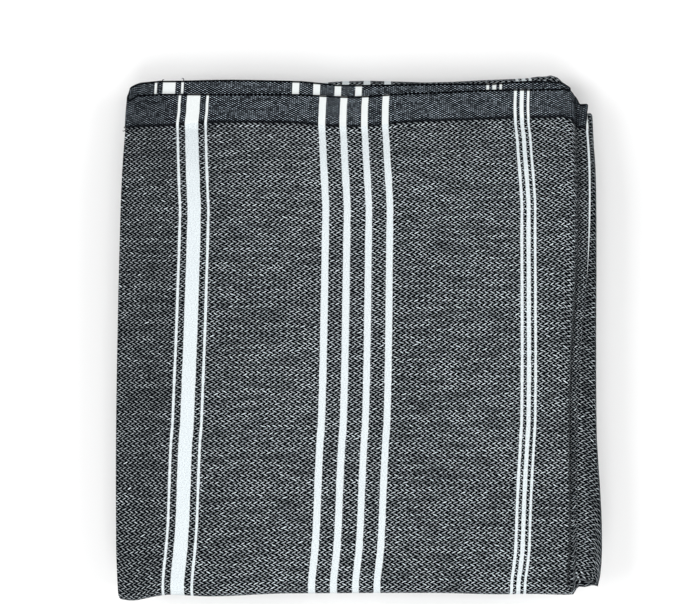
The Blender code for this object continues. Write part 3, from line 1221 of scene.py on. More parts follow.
@dataclass(frozen=True)
class StripeBands:
    """The white stripes of one quarter of the cloth. The other three quarters mirror it."""

    quarter: float = 0.2475
    soft_edge: float = 0.00022
    bands: tuple[Band, ...] = (
        Band(0.02190, 0.02325),
        Band(0.02655, 0.03375),
        Band(0.03708, 0.03845),
        Band(0.09887, 0.10263),
        Band(0.11036, 0.11408),
        Band(0.12208, 0.12562),
        Band(0.13336, 0.13694),
        Band(0.20515, 0.20667),
        Band(0.20842, 0.21058),
        Band(0.21234, 0.21368),
    )
    single: Band = Band(0.24630, 0.24800)  # on one half only
    single_gap: Band = Band(0.26300, 0.29000)  # round the first near turn, which shows none
    gap_fade: float = 0.001

    def inside(self, graph: Graph, aside: Socket, band: Band) -> Socket:
        """A mask that is 1 inside a band, from the distance from its middle."""
        return graph.ramp(aside, band.half + self.soft_edge, band.half - self.soft_edge)

    def group(self) -> bpy.types.NodeTree:
        """Builds the node group.

        Returns:
            A group that turns U and V into a mask of the stripes. Shift narrows the mirrored ones.
        """
        graph, given, result = GroupMaker("stripe_bands", ("U", "V", "Shift"), ("Stripe",)).start()
        from_quarter = graph.apart(graph.math("ABSOLUTE", given["U"]), self.quarter)
        place = graph.minus(self.quarter, from_quarter)
        total: Socket | float = 0.0
        for band in self.bands:
            aside = graph.plus(graph.apart(place, band.middle), given["Shift"])
            total = graph.math("ADD", total, self.inside(graph, aside, band), clamp=True)
        single = self.inside(graph, graph.apart(given["U"], self.single.middle), self.single)
        from_gap = graph.apart(given["V"], self.single_gap.middle)
        half = self.single_gap.half
        single = graph.times(single, graph.ramp(from_gap, half - self.gap_fade, half))
        total = graph.math("ADD", total, single, clamp=True)
        graph.join(total, result.inputs["Stripe"])
        return graph.tree


@dataclass(frozen=True)
class ThreadFuzz:
    """The unevenness of spun cotton: thick and thin places, and short pale fibres."""

    slub_scales: tuple[float, float] = (90.0, 620.0)
    grain_scales: tuple[float, float] = (1500.0, 2600.0)
    unevenness: float = 0.9
    least: float = 0.55

    def group(self) -> bpy.types.NodeTree:
        """Builds the node group.

        Returns:
            A group that turns two lengths along threads into a value round 1 and a fine grain.
        """
        graph, given, result = GroupMaker(
            "thread_fuzz", ("Across", "Along"), ("Uneven", "Grain")
        ).start()
        slub = graph.stretched_noise(given["Across"], given["Along"], self.slub_scales)
        grain = graph.stretched_noise(given["Across"], given["Along"], self.grain_scales)
        uneven = graph.times_plus(slub, self.unevenness, self.least)
        graph.join(uneven, result.inputs["Uneven"])
        graph.join(grain, result.inputs["Grain"])
        return graph.tree


# ---- Finishes ----


def new_material(name: str) -> tuple[bpy.types.Material, Graph, bpy.types.Node]:
    """Makes a plain material.

    Args:
        name: Its name.

    Returns:
        The material, its graph and its main shader.
    """
    material = bpy.data.materials.new(name)
    material.use_nodes = True
    return material, Graph(material.node_tree), material.node_tree.nodes["Principled BSDF"]


class Weave(NamedTuple):
    """The outputs that the cloth's colour and relief are made of."""

    rows: dict[str, Socket]
    dots: dict[str, Socket]
    fuzz: dict[str, Socket]
    hem: Socket
    stripe: Socket


@dataclass(frozen=True)
class StripedCotton:
    """The towel's cloth: charcoal and pale threads, white stripes and close-woven hems."""

    hem_depth: float
    last_v: float
    gap_colour: Colour = (0.0008, 0.0012, 0.0022, 1.0)
    pale_colour: Colour = (0.70, 0.77, 0.82, 1.0)
    hem_colour: Colour = (0.60, 0.70, 0.80, 1.0)
    white_colour: Colour = (0.71, 0.765, 0.785, 1.0)
    thin_white: Colour = (0.50, 0.545, 0.57, 1.0)
    hem_white: Colour = (0.725, 0.76, 0.76, 1.0)
    net_light: float = 0.018
    float_light: float = 0.74
    hem_light: float = 0.001
    dot_light: float = 1.05
    herringbone: HerringboneRows = HerringboneRows()
    hem_dots: HemDots = HemDots()
    stripes: StripeBands = StripeBands()
    fuzz: ThreadFuzz = ThreadFuzz()
    hem_edge: float = 0.0004
    # The painted shadow line where each hem's doubled edge ends.
    seam: Rise = Rise(0.0003, 0.0016, 0.10)
    streak: Rise = Rise(0.30, 0.70, 0.66, 1.34)  # thin and thick threads, for a stretch of a row
    streak_scales: tuple[float, float] = (38.0, 5.3)
    from_fold: Rise = Rise(0.0, 0.075, 0.66)  # the cloth is darker beside its centre fold
    tooth: float = 0.00022  # how far a stripe's edge steps from row to row
    tooth_seed: float = 7.0
    slub: Rise = Rise(0.955, 0.99, 0.0, 0.75)
    float_spread: float = 0.55
    float_least: float = 0.62
    dot_spread: float = 0.85
    dot_least: float = 0.15
    ribs: Rise = Rise(0.30, 0.62)
    # A dark line along each hem's folded edge: partly the edge's own dark threads, partly painted
    # shadow of the ply above.
    rim: Rise = Rise(0.0, 0.00045, 0.45, 0.0)
    edge_shadow_end: Rise = Rise(0.00085, 0.00160)
    roughness: Rise = Rise(0.0, 0.6, 0.97, 0.86)
    gloss: float = 0.03
    float_relief: float = 0.6
    dot_relief: float = 0.55
    stripe_grain: float = 0.5
    stripe_relief: float = 0.9
    grain_relief: float = 0.18
    relief: float = 0.00030
    relief_strength: float = 0.55

    def hem_share(self, graph: Graph, v: Socket) -> Socket:
        """A mask that is 1 on the two hems.

        Args:
            graph: The material's graph.
            v: The place along the cloth.

        Returns:
            The mask.
        """
        soft = self.hem_edge
        first = graph.ramp(v, self.hem_depth + soft, self.hem_depth - soft)
        last_edge = self.last_v - self.hem_depth
        last = graph.ramp(v, last_edge - soft, last_edge + soft)
        return graph.math("ADD", first, last, clamp=True)

    def seam_shade(self, graph: Graph, v: Socket) -> Socket:
        """A painted shadow line where a hem's doubled edge ends.

        Args:
            graph: The material's graph.
            v: The place along the cloth.

        Returns:
            A value from 0.1 on the line to 1 away from it.
        """
        first = graph.apart(v, self.hem_depth)
        last = graph.apart(v, self.last_v - self.hem_depth)
        return graph.ramp(graph.math("MINIMUM", first, last), *self.seam)

    def weave(self, graph: Graph, u: Socket, v: Socket) -> Weave:
        """Places the node groups.

        Args:
            graph: The material's graph.
            u: The place across the cloth.
            v: The place along the cloth.

        Returns:
            Their outputs, with the masks of the hems and the stripes.
        """
        rows = graph.use(self.herringbone.group(), U=u, V=v)
        dots = graph.use(self.hem_dots.group(), U=u, V=v)
        fuzz = graph.use(self.fuzz.group(), Across=u, Along=v)
        hem = self.hem_share(graph, v)
        tooth = graph.minus(graph.chance(graph.point(rows["Row"], self.tooth_seed)), 0.5)
        tooth = graph.times(graph.times(tooth, self.tooth), graph.minus(1.0, hem))
        stripe = graph.use(self.stripes.group(), U=u, V=v, Shift=tooth)["Stripe"]
        return Weave(rows, dots, fuzz, hem, stripe)

    def ground(self, graph: Graph, weave: Weave, u: Socket, v: Socket, painted_lip_shade: Socket) -> Socket:
        """How light the threads of the herringbone and of the hems are.

        Args:
            graph: The material's graph.
            weave: The node groups' outputs.
            u: The place across the cloth.
            v: The place along the cloth.
            painted_lip_shade: Painted shade of the lips and the outer fold, with some darker tone of
                the pressed cloth, as in LipPoint.

        Returns:
            A value from 0 to 1.
        """
        rows, dots, fuzz = weave.rows, weave.dots, weave.fuzz
        # Painted shade of the lips, times the darker tone beside the centre fold.
        tone = graph.times(graph.ramp(graph.math("ABSOLUTE", u), *self.from_fold), painted_lip_shade)
        slub = graph.ramp(rows["Chance"], *self.slub)
        level = graph.times_plus(rows["Chance"], self.float_spread, self.float_least)
        crown = graph.times(rows["Float"], graph.plus(level, slub))
        crown = graph.times(crown, self.float_light)
        streaks = graph.stretched_noise(u, rows["Row"], self.streak_scales)
        crown = graph.times(crown, graph.ramp(streaks, *self.streak))
        light = graph.times_plus(rows["Thread"], self.net_light, crown)
        light = graph.times(light, fuzz["Uneven"])

        share = graph.times_plus(dots["Chance"], self.dot_spread, self.dot_least)
        dot = graph.times(dots["Dot"], share)
        dim = graph.times_plus(dot, self.dot_light, self.hem_light)
        dim = graph.times(dim, fuzz["Uneven"])
        both = graph.blend(weave.hem, graph.point(light, light, light), graph.point(dim, dim, dim))
        # Painted shadow line where each hem's doubled edge ends.
        both = graph.times(both, self.seam_shade(graph, v))
        return graph.math("MULTIPLY", both, tone, clamp=True)

    def colour(self, graph: Graph, weave: Weave, ground: Socket, from_edge: Socket) -> Socket:
        """The cloth's colour.

        Args:
            graph: The material's graph.
            weave: The node groups' outputs.
            ground: How light the threads are.
            from_edge: The distance from the nearer hem's edge.

        Returns:
            The colour.
        """
        pale = graph.blend(weave.hem, self.pale_colour, self.hem_colour)
        colour = graph.blend(ground, self.gap_colour, pale)
        ribs = graph.ramp(weave.fuzz["Grain"], *self.ribs)
        white = graph.blend(ribs, self.thin_white, self.white_colour)
        white = graph.blend(weave.hem, white, self.hem_white)
        colour = graph.blend(weave.stripe, colour, white)
        # Painted shadow and dark line along each hem's folded edge.
        rim = graph.ramp(from_edge, *self.rim)
        edge_line_and_shadow = graph.math("MAXIMUM", rim, graph.ramp(from_edge, *self.edge_shadow_end))
        return graph.blend(edge_line_and_shadow, self.gap_colour, colour)

    def height(self, graph: Graph, weave: Weave) -> Socket:
        """The relief of the weave and of the stripes.

        Args:
            graph: The material's graph.
            weave: The node groups' outputs.

        Returns:
            The height, as a share of `relief`.
        """
        rows, grain = weave.rows, weave.fuzz["Grain"]
        plain = graph.minus(1.0, weave.hem)
        height = graph.times_plus(rows["Float"], self.float_relief, rows["Thread"])
        height = graph.times(height, plain)
        dots = graph.times(weave.dots["Dot"], weave.hem)
        height = graph.times_plus(dots, self.dot_relief, height)
        flat = graph.times_plus(grain, self.stripe_grain, self.stripe_relief)
        keep = graph.times(height, graph.minus(1.0, weave.stripe))
        height = graph.times_plus(flat, weave.stripe, keep)
        return graph.times_plus(grain, self.grain_relief, height)

    def material(self) -> bpy.types.Material:
        """Builds the material.

        Returns:
            The cloth's material.
        """
        material, graph, shader = new_material("striped_cotton")
        u, v = graph.read_map(CLOTH_MAP)
        # The edge map holds the distance from the nearer end and the lips' painted shade.
        from_edge, painted_lip_shade = graph.read_map(EDGE_AND_SHADE_MAP)
        weave = self.weave(graph, u, v)
        ground = self.ground(graph, weave, u, v, painted_lip_shade)
        colour = self.colour(graph, weave, ground, from_edge)
        graph.join(colour, shader.inputs["Base Color"])
        graph.join(graph.ramp(ground, *self.roughness), shader.inputs["Roughness"])
        bump = graph.bump(self.height(graph, weave), self.relief_strength, self.relief)
        graph.join(bump, shader.inputs["Normal"])
        shader.inputs["Specular IOR Level"].default_value = self.gloss
        return material


@dataclass(frozen=True)
class SewingThread:
    """Dark twisted cotton thread, for the stitches and the loose ends."""

    colour: Colour = (0.010, 0.012, 0.016, 1.0)
    pale: Colour = (0.10, 0.11, 0.12, 1.0)
    twist: float = 2400.0
    fibre_scale: float = 900.0
    roughness: Rise = Rise(0.0, 1.0, 0.9, 0.7)
    relief: float = 0.00005
    relief_strength: float = 0.4

    def material(self) -> bpy.types.Material:
        """Builds the material.

        Returns:
            The thread's material.
        """
        material, graph, shader = new_material("sewing_thread")
        place = graph.add("ShaderNodeTexCoord", {}, "Object")
        slope = graph.plus(*graph.split(place))
        wave = graph.math("SINE", graph.times(slope, self.twist))
        ridge = graph.times_plus(wave, 0.5, 0.5)
        shade = graph.times(ridge, graph.noise(place, self.fibre_scale))
        graph.join(graph.blend(shade, self.colour, self.pale), shader.inputs["Base Color"])
        graph.join(graph.ramp(ridge, *self.roughness), shader.inputs["Roughness"])
        bump = graph.bump(ridge, self.relief_strength, self.relief)
        graph.join(bump, shader.inputs["Normal"])
        return material


@dataclass(frozen=True)
class PaleFloor:
    """The plain surface under the towel."""

    colour: Colour = (0.90, 0.90, 0.90, 1.0)

    def material(self) -> bpy.types.Material:
        """Builds the material.

        Returns:
            The floor's material.
        """
        material, _, shader = new_material("pale_floor")
        shader.inputs["Base Color"].default_value = self.colour
        shader.inputs["Roughness"].default_value = 1.0
        shader.inputs["Specular IOR Level"].default_value = 0.0
        return material


# ---- The cloth ----


def link(name: str, mesh: bpy.types.Mesh) -> bpy.types.Object:
    """Puts a mesh into the scene as an object.

    Args:
        name: The object's name.
        mesh: The mesh.

    Returns:
        The object.
    """
    piece = bpy.data.objects.new(name, mesh)
    bpy.context.scene.collection.objects.link(piece)
    return piece


@dataclass
class FoldedCloth:
    """The towel's one length of cloth, laid in its folds as a thin sheet with two faces."""

    name: str = "folded_cloth"
    thickness: float = 0.00090
    hem_thickness: float = 0.00130
    hem_swell: float = 0.30
    hem_depth: float = 0.0165
    hem_step: float = 0.0030
    seam_edges: tuple[float, float] = (0.0004, 0.0008)  # before and after hem_depth
    rim: float = 0.00065  # how far in from a hem's edge its roundness reaches
    rim_most: float = 0.97
    sharp_angle: float = math.radians(70)
    bake_margin: float = 0.006
    bake_rim: float = 0.0012
    edge_fade: float = 0.020
    weave_fade: tuple[float, float] = (0.030, 0.220)
    weave_middle: float = 0.0070
    path: StripPath = StripPath()
    section: StripSection = StripSection()
    shape: SoftShape = SoftShape()
    hem_line: tuple[HemPoint, ...] = (
        HemPoint(-2.000, 0.0020, 0.0020),
        HemPoint(-1.025, 0.0050, 0.0040),
        HemPoint(-0.975, 0.0050, 0.0040),
        HemPoint(-0.9617, 0.0027, 0.0030),
        HemPoint(-0.9570, 0.0020, 0.0026),
        HemPoint(-0.9530, 0.0012, 0.0024),
        HemPoint(-0.9400, 0.0006, 0.0020),
        HemPoint(-0.9180, 0.0006, 0.0012),
        HemPoint(-0.8750, 0.0012, 0.0008),
        HemPoint(-0.8310, 0.0015, 0.0004),
        HemPoint(-0.7880, 0.0020, 0.0002),
        HemPoint(-0.7440, 0.0018, 0.0004),
        HemPoint(-0.7010, 0.0015, 0.0006),
        HemPoint(-0.6140, 0.0016, 0.0008),
        HemPoint(-0.5710, 0.0020, 0.0008),
        HemPoint(-0.5050, 0.0023, 0.0006),
        HemPoint(-0.4400, 0.0021, 0.0004),
        HemPoint(-0.3970, 0.0006, 0.0002),
        HemPoint(-0.3530, 0.0003, 0.0000),
        HemPoint(-0.2230, -0.0001, 0.0004),
        HemPoint(-0.1580, 0.0002, 0.0005),
        HemPoint(-0.1030, 0.0005, 0.0006),
        HemPoint(-0.0490, -0.0003, 0.0012),
        HemPoint(-0.0270, 0.0001, 0.0020),
        HemPoint(-0.0170, 0.0006, 0.0032),
        HemPoint(-0.0100, 0.0011, 0.0044),
        HemPoint(-0.0060, 0.0014, 0.0060),
        HemPoint(-0.0035, 0.0017, 0.0070),
        HemPoint(0.0030, 0.0094, 0.0087),
        HemPoint(0.0165, 0.0078, 0.0090),
        HemPoint(0.0270, 0.0076, 0.0091),
        HemPoint(0.0490, 0.0076, 0.0092),
        HemPoint(0.1030, 0.0083, 0.0094),
        HemPoint(0.1580, 0.0083, 0.0079),
        HemPoint(0.2230, 0.0083, 0.0075),
        HemPoint(0.2880, 0.0082, 0.0074),
        HemPoint(0.3530, 0.0081, 0.0075),
        HemPoint(0.3970, 0.0084, 0.0082),
        HemPoint(0.4400, 0.0089, 0.0093),
        HemPoint(0.4730, 0.0092, 0.0098),
        HemPoint(0.5050, 0.0090, 0.0096),
        HemPoint(0.5380, 0.0085, 0.0092),
        HemPoint(0.5710, 0.0078, 0.0080),
        HemPoint(0.6140, 0.0071, 0.0068),
        HemPoint(0.7010, 0.0064, 0.0060),
        HemPoint(0.7880, 0.0059, 0.0056),
        HemPoint(0.8310, 0.0061, 0.0055),
        HemPoint(0.8750, 0.0062, 0.0053),
        HemPoint(0.9180, 0.0053, 0.0047),
        HemPoint(0.9400, 0.0049, 0.0041),
        HemPoint(0.9530, 0.0038, 0.0038),
        HemPoint(0.9617, 0.0045, 0.0040),
        HemPoint(0.9660, 0.0058, 0.0052),
        HemPoint(0.9700, 0.0067, 0.0072),
        HemPoint(0.9750, 0.0074, 0.0086),
        HemPoint(0.9790, 0.0088, 0.0088),
        HemPoint(0.9825, 0.0112, 0.0090),
        HemPoint(0.9860, 0.0119, 0.0092),
        HemPoint(1.0000, 0.0114, 0.0095),
        HemPoint(1.0100, 0.0125, 0.0100),
        HemPoint(2.0000, 0.0090, 0.0090),
    )
    middle: Array = field(default_factory=lambda: np.zeros(0), repr=False)
    outward: Array = field(default_factory=lambda: np.zeros(0), repr=False)
    u: Array = field(default_factory=lambda: np.zeros(0), repr=False)
    v: Array = field(default_factory=lambda: np.zeros(0), repr=False)
    edge: Array = field(default_factory=lambda: np.zeros(0), repr=False)

    @property
    def last_v(self) -> float:
        """The V at the edge of the second hem."""
        return self.path.cloth_length - self.weave_middle

    def sheet_thickness(self, v: Array) -> Array:
        """How thick the sheet is, which is more on the hems.

        Args:
            v: The place along the cloth.

        Returns:
            The thickness.
        """
        from_end = np.minimum(v, self.last_v - v)
        before, after = self.seam_edges
        hem = 1.0 - smoothstep(from_end, self.hem_depth - before, self.hem_depth + after)
        return self.thickness + (self.hem_thickness - self.thickness) * hem

    def lay(self) -> tuple[Array, Array]:
        """Lays the cloth in its folds.

        Returns:
            The points of its first face and of its second face.
        """
        stations = self.path.stations()
        across = self.section.across(self.path, stations)
        length = stations.length[:, None]
        edge = read_table(self.hem_line, "across", "edge", across.across)
        weave = read_table(self.hem_line, "across", "weave", across.across)
        setback = edge * (1.0 - smoothstep(length, 0.0, self.edge_fade))
        reached = length + setback
        straight = 1.0 - smoothstep(reached, *self.weave_fade)
        bow = self.weave_middle + (weave - self.weave_middle) * straight
        self.u = across.u
        self.v = reached + across.n * stations.turned[:, None] - bow

        hem_end = self.hem_depth + weave
        swell = self.hem_swell * (1.0 - smoothstep(reached, hem_end, hem_end + self.hem_step))
        from_edge = np.minimum(length, self.path.cloth_length - length)
        # The distance from the nearer end, and each column's painted shade, for the edge map.
        self.edge = np.stack(np.broadcast_arrays(from_edge, across.tone[None, :]), axis=-1)
        bulge = np.clip(1.0 - from_edge / self.rim, 0.0, self.rim_most)
        half = 0.5 * self.sheet_thickness(self.v) * np.sqrt(1.0 - bulge**2)
        faces = []
        for side in (1.0, -1.0):
            x = across.x + side * half * across.normal_x
            n = across.n + side * half * across.normal_n
            n = n + swell * (n + self.path.leaf_pitch / 2.0)
            y = stations.y[:, None] + n * stations.normal_y[:, None] - setback
            y = self.shape.slipped(stations.leaf[:, None], x, y)
            z = stations.z[:, None] + n * stations.normal_z[:, None]
            faces.append(self.shape.place(x, y, z))
        self.middle = (faces[0] + faces[1]) / 2.0
        apart = faces[0] - faces[1]
        self.outward = apart / np.linalg.norm(apart, axis=-1, keepdims=True)
        return faces[0], faces[1]

    def bake_places(self) -> Array:
        """Where each point lies on the square map: the first face on its left half.

        Returns:
            A place for each point of the first face and then of the second one.
        """
        margin = self.bake_margin
        width = HALF_MAP - 2.0 * margin
        share_u = self.u / (2.0 * self.section.half_width) + 0.5
        low, high = self.v.min(), self.v.max()
        share_v = (self.v - low) / (high - low)
        along = margin + (1.0 - 2.0 * margin) * share_v
        left = np.stack([margin + width * share_u, along], axis=-1)
        right = left + np.array([HALF_MAP, 0.0])
        return np.concatenate([left.reshape(-1, 2), right.reshape(-1, 2)])

    def mesh(self) -> bpy.types.Mesh:
        """Builds the sheet as one closed mesh with its three UV maps.

        Returns:
            The mesh.
        """
        first, second = self.lay()
        rows, columns = self.u.shape
        count = rows * columns
        index = np.arange(count).reshape(rows, columns)
        top = np.stack([index[:-1, :-1], index[1:, :-1], index[1:, 1:], index[:-1, 1:]], axis=-1)
        bottom = top[..., ::-1] + count
        rims = [
            np.stack([edge[:-1], edge[1:], edge[1:] + count, edge[:-1] + count], axis=-1)
            for edge in (index[0], index[-1, ::-1], index[::-1, 0], index[:, -1])
        ]
        quads = np.concatenate([top.reshape(-1, 4), bottom.reshape(-1, 4), *rims])
        points = np.concatenate([first.reshape(-1, 3), second.reshape(-1, 3)])
        mesh = bpy.data.meshes.new(self.name)
        mesh.from_pydata(points.tolist(), [], quads.tolist())

        corners = quads.reshape(-1)
        cloth = np.stack([self.u.reshape(-1), self.v.reshape(-1)], axis=-1)
        cloth = np.concatenate([cloth, cloth])[corners]
        edge = self.edge.reshape(-1, 2)
        edge = np.concatenate([edge, edge])[corners]
        bake = self.bake_places()[corners]
        rim_start = top.size + bottom.size
        from_second = corners[rim_start:] >= count
        outwards = np.array([[0.0, -1.0], [0.0, 1.0], [-1.0, 0.0], [1.0, 0.0]])
        push = np.repeat(outwards, [rim.size for rim in rims], axis=0)
        rim_bake = bake[rim_start:]
        rim_bake[from_second] -= np.array([HALF_MAP, 0.0])
        rim_bake[from_second] += self.bake_rim * push[from_second]
        for name, places in ((CLOTH_MAP, cloth), (EDGE_AND_SHADE_MAP, edge), (BAKE_MAP, bake)):
            layer = mesh.uv_layers.new(name=name)
            layer.uv.foreach_set("vector", places.astype(np.float32).reshape(-1))
        mesh.uv_layers.active = mesh.uv_layers[CLOTH_MAP]
        mesh.validate()
        mesh.shade_smooth()
        mesh.set_sharp_from_angle(angle=self.sharp_angle)
        return mesh

    def build(self) -> bpy.types.Object:
        """Builds and dresses the cloth.

        Returns:
            The cloth's object.
        """
        piece = link(self.name, self.mesh())
        finish = StripedCotton(hem_depth=self.hem_depth, last_v=self.last_v)
        piece.data.materials.append(finish.material())
        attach(piece, "root")
        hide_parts("towel")
        return piece

    def line_at(self, v: float) -> tuple[Array, Array, Array]:
        """The line on the cloth where V has a given value, from one selvedge to the other.

        Args:
            v: The V.

        Returns:
            The line's points, their outward directions, and their U.
        """
        rows, columns = self.u.shape
        below = np.clip((self.v < v).sum(axis=0), 1, rows - 1)
        column = np.arange(columns)
        low = self.v[below - 1, column]
        high = self.v[below, column]
        share = ((v - low) / (high - low))[:, None]
        points = self.middle[below - 1, column] * (1 - share) + self.middle[below, column] * share
        outward = (
            self.outward[below - 1, column] * (1 - share) + self.outward[below, column] * share
        )
        return points, outward, self.u[below, column]


# ---- Threads ----


def tube_rings(points: Array, radii: Array, sides: int) -> Tube:
    """A closed tube along points.

    Args:
        points: The points of its middle line.
        radii: Its radius at each of them.
        sides: How many sides it has.

    Returns:
        Its corners and its faces.
    """
    tangents = np.gradient(points, axis=0)
    tangents /= np.linalg.norm(tangents, axis=1, keepdims=True)
    up = np.array([0.0, 0.0, 1.0])
    if abs(tangents[:, 2]).max() > STEEP:
        up = np.array([1.0, 0.0, 0.0])
    aside = np.cross(tangents, up)
    aside /= np.linalg.norm(aside, axis=1, keepdims=True)
    above = np.cross(aside, tangents)
    angles = np.linspace(0.0, math.tau, sides, endpoint=False)
    spokes = (
        aside[:, None, :] * np.cos(angles)[None, :, None]
        + above[:, None, :] * np.sin(angles)[None, :, None]
    )
    corners = (points[:, None, :] + radii[:, None, None] * spokes).reshape(-1, 3)
    faces = []
    for ring in range(len(points) - 1):
        for side in range(sides):
            following = (side + 1) % sides
            faces.append(
                [
                    ring * sides + side,
                    ring * sides + following,
                    (ring + 1) * sides + following,
                    (ring + 1) * sides + side,
                ]
            )
    faces.append(list(range(sides))[::-1])
    faces.append([(len(points) - 1) * sides + side for side in range(sides)])
    return corners, faces


def thread_piece(
    name: str, tubes: Sequence[Tube], finish: bpy.types.Material
) -> bpy.types.Object:
    """Joins tubes into one dressed piece.

    Args:
        name: The piece's name.
        tubes: The tubes.
        finish: Its material.

    Returns:
        Its object.
    """
    corners = []
    faces = []
    start = 0
    for tube_corners, tube_faces in tubes:
        corners.append(tube_corners)
        faces += [[start + corner for corner in face] for face in tube_faces]
        start += len(tube_corners)
    mesh = bpy.data.meshes.new(name)
    mesh.from_pydata(np.concatenate(corners).tolist(), [], faces)
    mesh.shade_smooth()
    piece = link(name, mesh)
    mesh.materials.append(finish)
    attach(piece, "root")
    return piece


@dataclass(frozen=True)
class HemStitches:
    """The row of stitches that holds each hem, as one joined mesh."""

    cloth: FoldedCloth
    finish: bpy.types.Material
    name: str = "hem_stitches"
    stitch: float = 0.0023
    space: float = 0.0032
    radius: float = 0.00016
    from_seam: float = 0.0009
    sunk: float = 0.9  # of the radius, at the stitch's two ends
    lifted: float = 0.7  # of the radius, from there to its middle
    thin_end: float = 0.45  # of the radius
    rings: int = 5
    sides: int = 5

    def stitches_at(self, v: float) -> list[Tube]:
        """The stitches along one V of the cloth.

        Args:
            v: The V.

        Returns:
            A tube for each stitch.
        """
        points, outward, _ = self.cloth.line_at(v)
        steps = np.linalg.norm(np.diff(points, axis=0), axis=1)
        run = np.concatenate([[0.0], np.cumsum(steps)])
        skin = self.cloth.hem_thickness / 2.0
        tubes = []
        for start in np.arange(self.space, run[-1] - self.space, self.space):
            along = np.linspace(start, start + self.stitch, self.rings)
            share = np.linspace(0.0, 1.0, self.rings)
            bow = np.sin(math.pi * share)
            rise = skin - self.radius * (self.sunk - self.lifted * bow)
            middle = np.stack([np.interp(along, run, points[:, axis]) for axis in range(3)], -1)
            away = np.stack([np.interp(along, run, outward[:, axis]) for axis in range(3)], -1)
            radii = self.radius * (self.thin_end + (1.0 - self.thin_end) * bow)
            tubes.append(tube_rings(middle + rise[:, None] * away, radii, self.sides))
        return tubes

    def build(self) -> bpy.types.Object:
        """Builds and dresses the stitches of both hems.

        Returns:
            Their object.
        """
        first = self.cloth.hem_depth - self.from_seam
        last = self.cloth.last_v - self.cloth.hem_depth + self.from_seam
        tubes = self.stitches_at(first) + self.stitches_at(last)
        return thread_piece(self.name, tubes, self.finish)


class LooseEnd(NamedTuple):
    """A thread end: where it leaves the cloth, and the way it curls, in millimetres."""

    x: float
    y: float
    z: float
    path_mm: tuple[tuple[float, float, float], ...]


@dataclass(frozen=True)
class LooseThreads:
    """The few thread ends that stick out of the hem and the folds."""

    finish: bpy.types.Material
    name: str = "loose_threads"
    radius: float = 0.00032
    taper: float = 0.5  # of the radius, by the thread's tip
    rings_a_point: int = 4
    sides: int = 5
    ends: tuple[LooseEnd, ...] = (
        LooseEnd(
            -0.1248, 0.1098, 0.0320, ((0, 0, 0), (-0.6, 0.2, 0.2), (-1.0, 0.0, 0.2), (-0.7, -0.4, 0))
        ),
        LooseEnd(
            -0.1250, 0.1082, 0.0320, ((0, 0, 0), (-0.6, -0.2, 0.1), (-1.2, -0.4, 0.1), (-1.5, -0.1, 0))
        ),
        LooseEnd(-0.1060, 0.1362, 0.0262, ((0, 0, 0), (0.2, 0.6, 0.2), (0.9, 0.8, 0.3))),
        LooseEnd(
            -0.0945, 0.1364, 0.0262, ((0, 0, 0), (0.0, 0.7, 0.2), (-0.4, 1.3, 0.3), (-1.0, 1.2, 0.2))
        ),
    )

    def tube(self, end: LooseEnd) -> Tube:
        """The tube of one thread end.

        Args:
            end: The thread end.

        Returns:
            Its corners and faces.
        """
        path = np.array(end.path_mm, dtype=float) / 1000.0
        places = np.linspace(0.0, 1.0, len(path))
        fine = np.linspace(0.0, 1.0, self.rings_a_point * len(path))
        curve = np.stack([smooth_curve(places, path[:, axis], fine) for axis in range(3)], -1)
        radii = self.radius * (1.0 - self.taper * fine)
        return tube_rings(curve + np.array([end.x, end.y, end.z]), radii, self.sides)

    def build(self) -> bpy.types.Object:
        """Builds and dresses the thread ends."""
        return thread_piece(self.name, [self.tube(end) for end in self.ends], self.finish)


# ---- The studio ----


@dataclass(frozen=True)
class SoftBox:
    """A square lamp that shines at the towel."""

    name: str
    place: tuple[float, float, float]
    size: float
    power: float


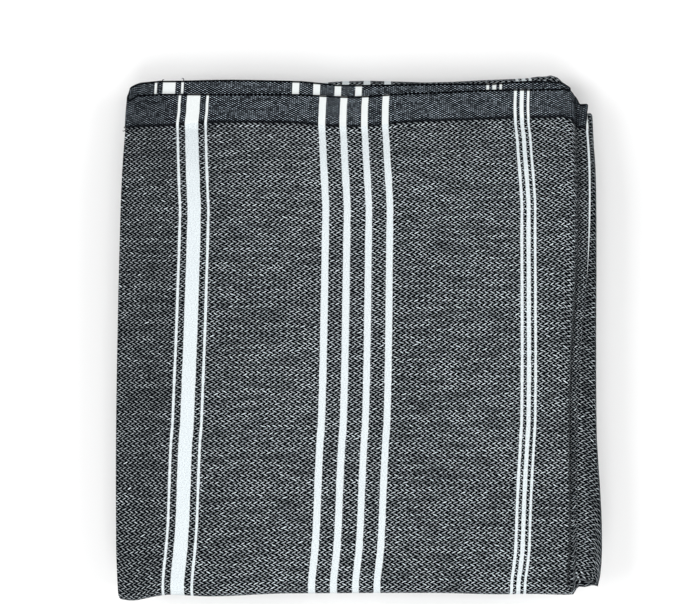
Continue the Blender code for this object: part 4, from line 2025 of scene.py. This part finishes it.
@dataclass(frozen=True)
class Studio:
    """The floor, the lamps and the camera."""

    floor_size: float = 8.0
    lamps: tuple[SoftBox, ...] = (
        SoftBox("top_lamp", (0.0, 0.0, 2.0), 1.20, 3.1),
        SoftBox("near_lamp", (0.0, -1.2, 1.6), 1.00, 17.1),
        SoftBox("left_lamp", (-1.3, 0.0, 1.4), 1.00, 16.8),
        SoftBox("right_lamp", (1.3, 0.0, 1.4), 1.00, 12.7),
    )
    sky_strength: float = 0.40
    lens: float = 95.17
    sensor: float = 36.0
    clip_start: float = 0.05
    tilt: float = math.radians(4.5)
    distance: float = 0.950
    target: tuple[float, float, float] = (-0.0102, 0.0154, 0.0380)

    def lay_floor(self) -> None:
        """Lays the plain pale floor."""
        half = self.floor_size / 2.0
        mesh = bpy.data.meshes.new("floor")
        corners = [(-half, -half, 0.0), (half, -half, 0.0), (half, half, 0.0), (-half, half, 0.0)]
        mesh.from_pydata(corners, [], [(0, 1, 2, 3)])
        mesh.materials.append(PaleFloor().material())
        link("floor", mesh)

    def hang_lamps(self) -> None:
        """Hangs the lamps and sets the even light that comes from all sides."""
        for lamp in self.lamps:
            light = bpy.data.lights.new(lamp.name, "AREA")
            light.shape = "SQUARE"
            light.size = lamp.size
            light.energy = lamp.power
            lamp_object = bpy.data.objects.new(lamp.name, light)
            lamp_object.location = lamp.place
            aim = Vector((0.0, 0.0, 0.0)) - Vector(lamp.place)
            lamp_object.rotation_euler = aim.to_track_quat("-Z", "Y").to_euler()
            bpy.context.scene.collection.objects.link(lamp_object)
        world = bpy.data.worlds.new("soft_light")
        world.use_nodes = True
        background = world.node_tree.nodes["Background"]
        background.inputs["Color"].default_value = (1.0, 1.0, 1.0, 1.0)
        background.inputs["Strength"].default_value = self.sky_strength
        bpy.context.scene.world = world

    def set_camera(self) -> None:
        """Sets the camera above the towel, tipped a little towards its near end."""
        data = bpy.data.cameras.new("camera")
        data.lens = self.lens
        data.sensor_width = self.sensor
        data.clip_start = self.clip_start
        camera = bpy.data.objects.new("camera", data)
        back = Vector((0.0, -math.sin(self.tilt), math.cos(self.tilt)))
        camera.location = Vector(self.target) + self.distance * back
        camera.rotation_euler = (self.tilt, 0.0, 0.0)
        bpy.context.scene.collection.objects.link(camera)
        bpy.context.scene.camera = camera

    def build(self) -> None:
        """Builds the whole studio."""
        self.lay_floor()
        self.hang_lamps()
        self.set_camera()
        bpy.context.scene.view_settings.view_transform = "Standard"


def report(piece: bpy.types.Object) -> None:
    """Logs a piece's name and how many faces it has."""
    LOG.info("%s: %d faces", piece.name, len(piece.data.polygons))


def main() -> None:
    """Builds the towel and its studio."""
    logging.basicConfig(level=logging.INFO, format="%(name)s: %(message)s")
    cloth = FoldedCloth()
    sheet = cloth.build()
    report(sheet)
    thread = SewingThread().material()
    stitches = HemStitches(cloth, thread).build()
    report(stitches)
    threads = LooseThreads(thread).build()
    report(threads)
    Studio().build()


if __name__ == "__main__":
    main()
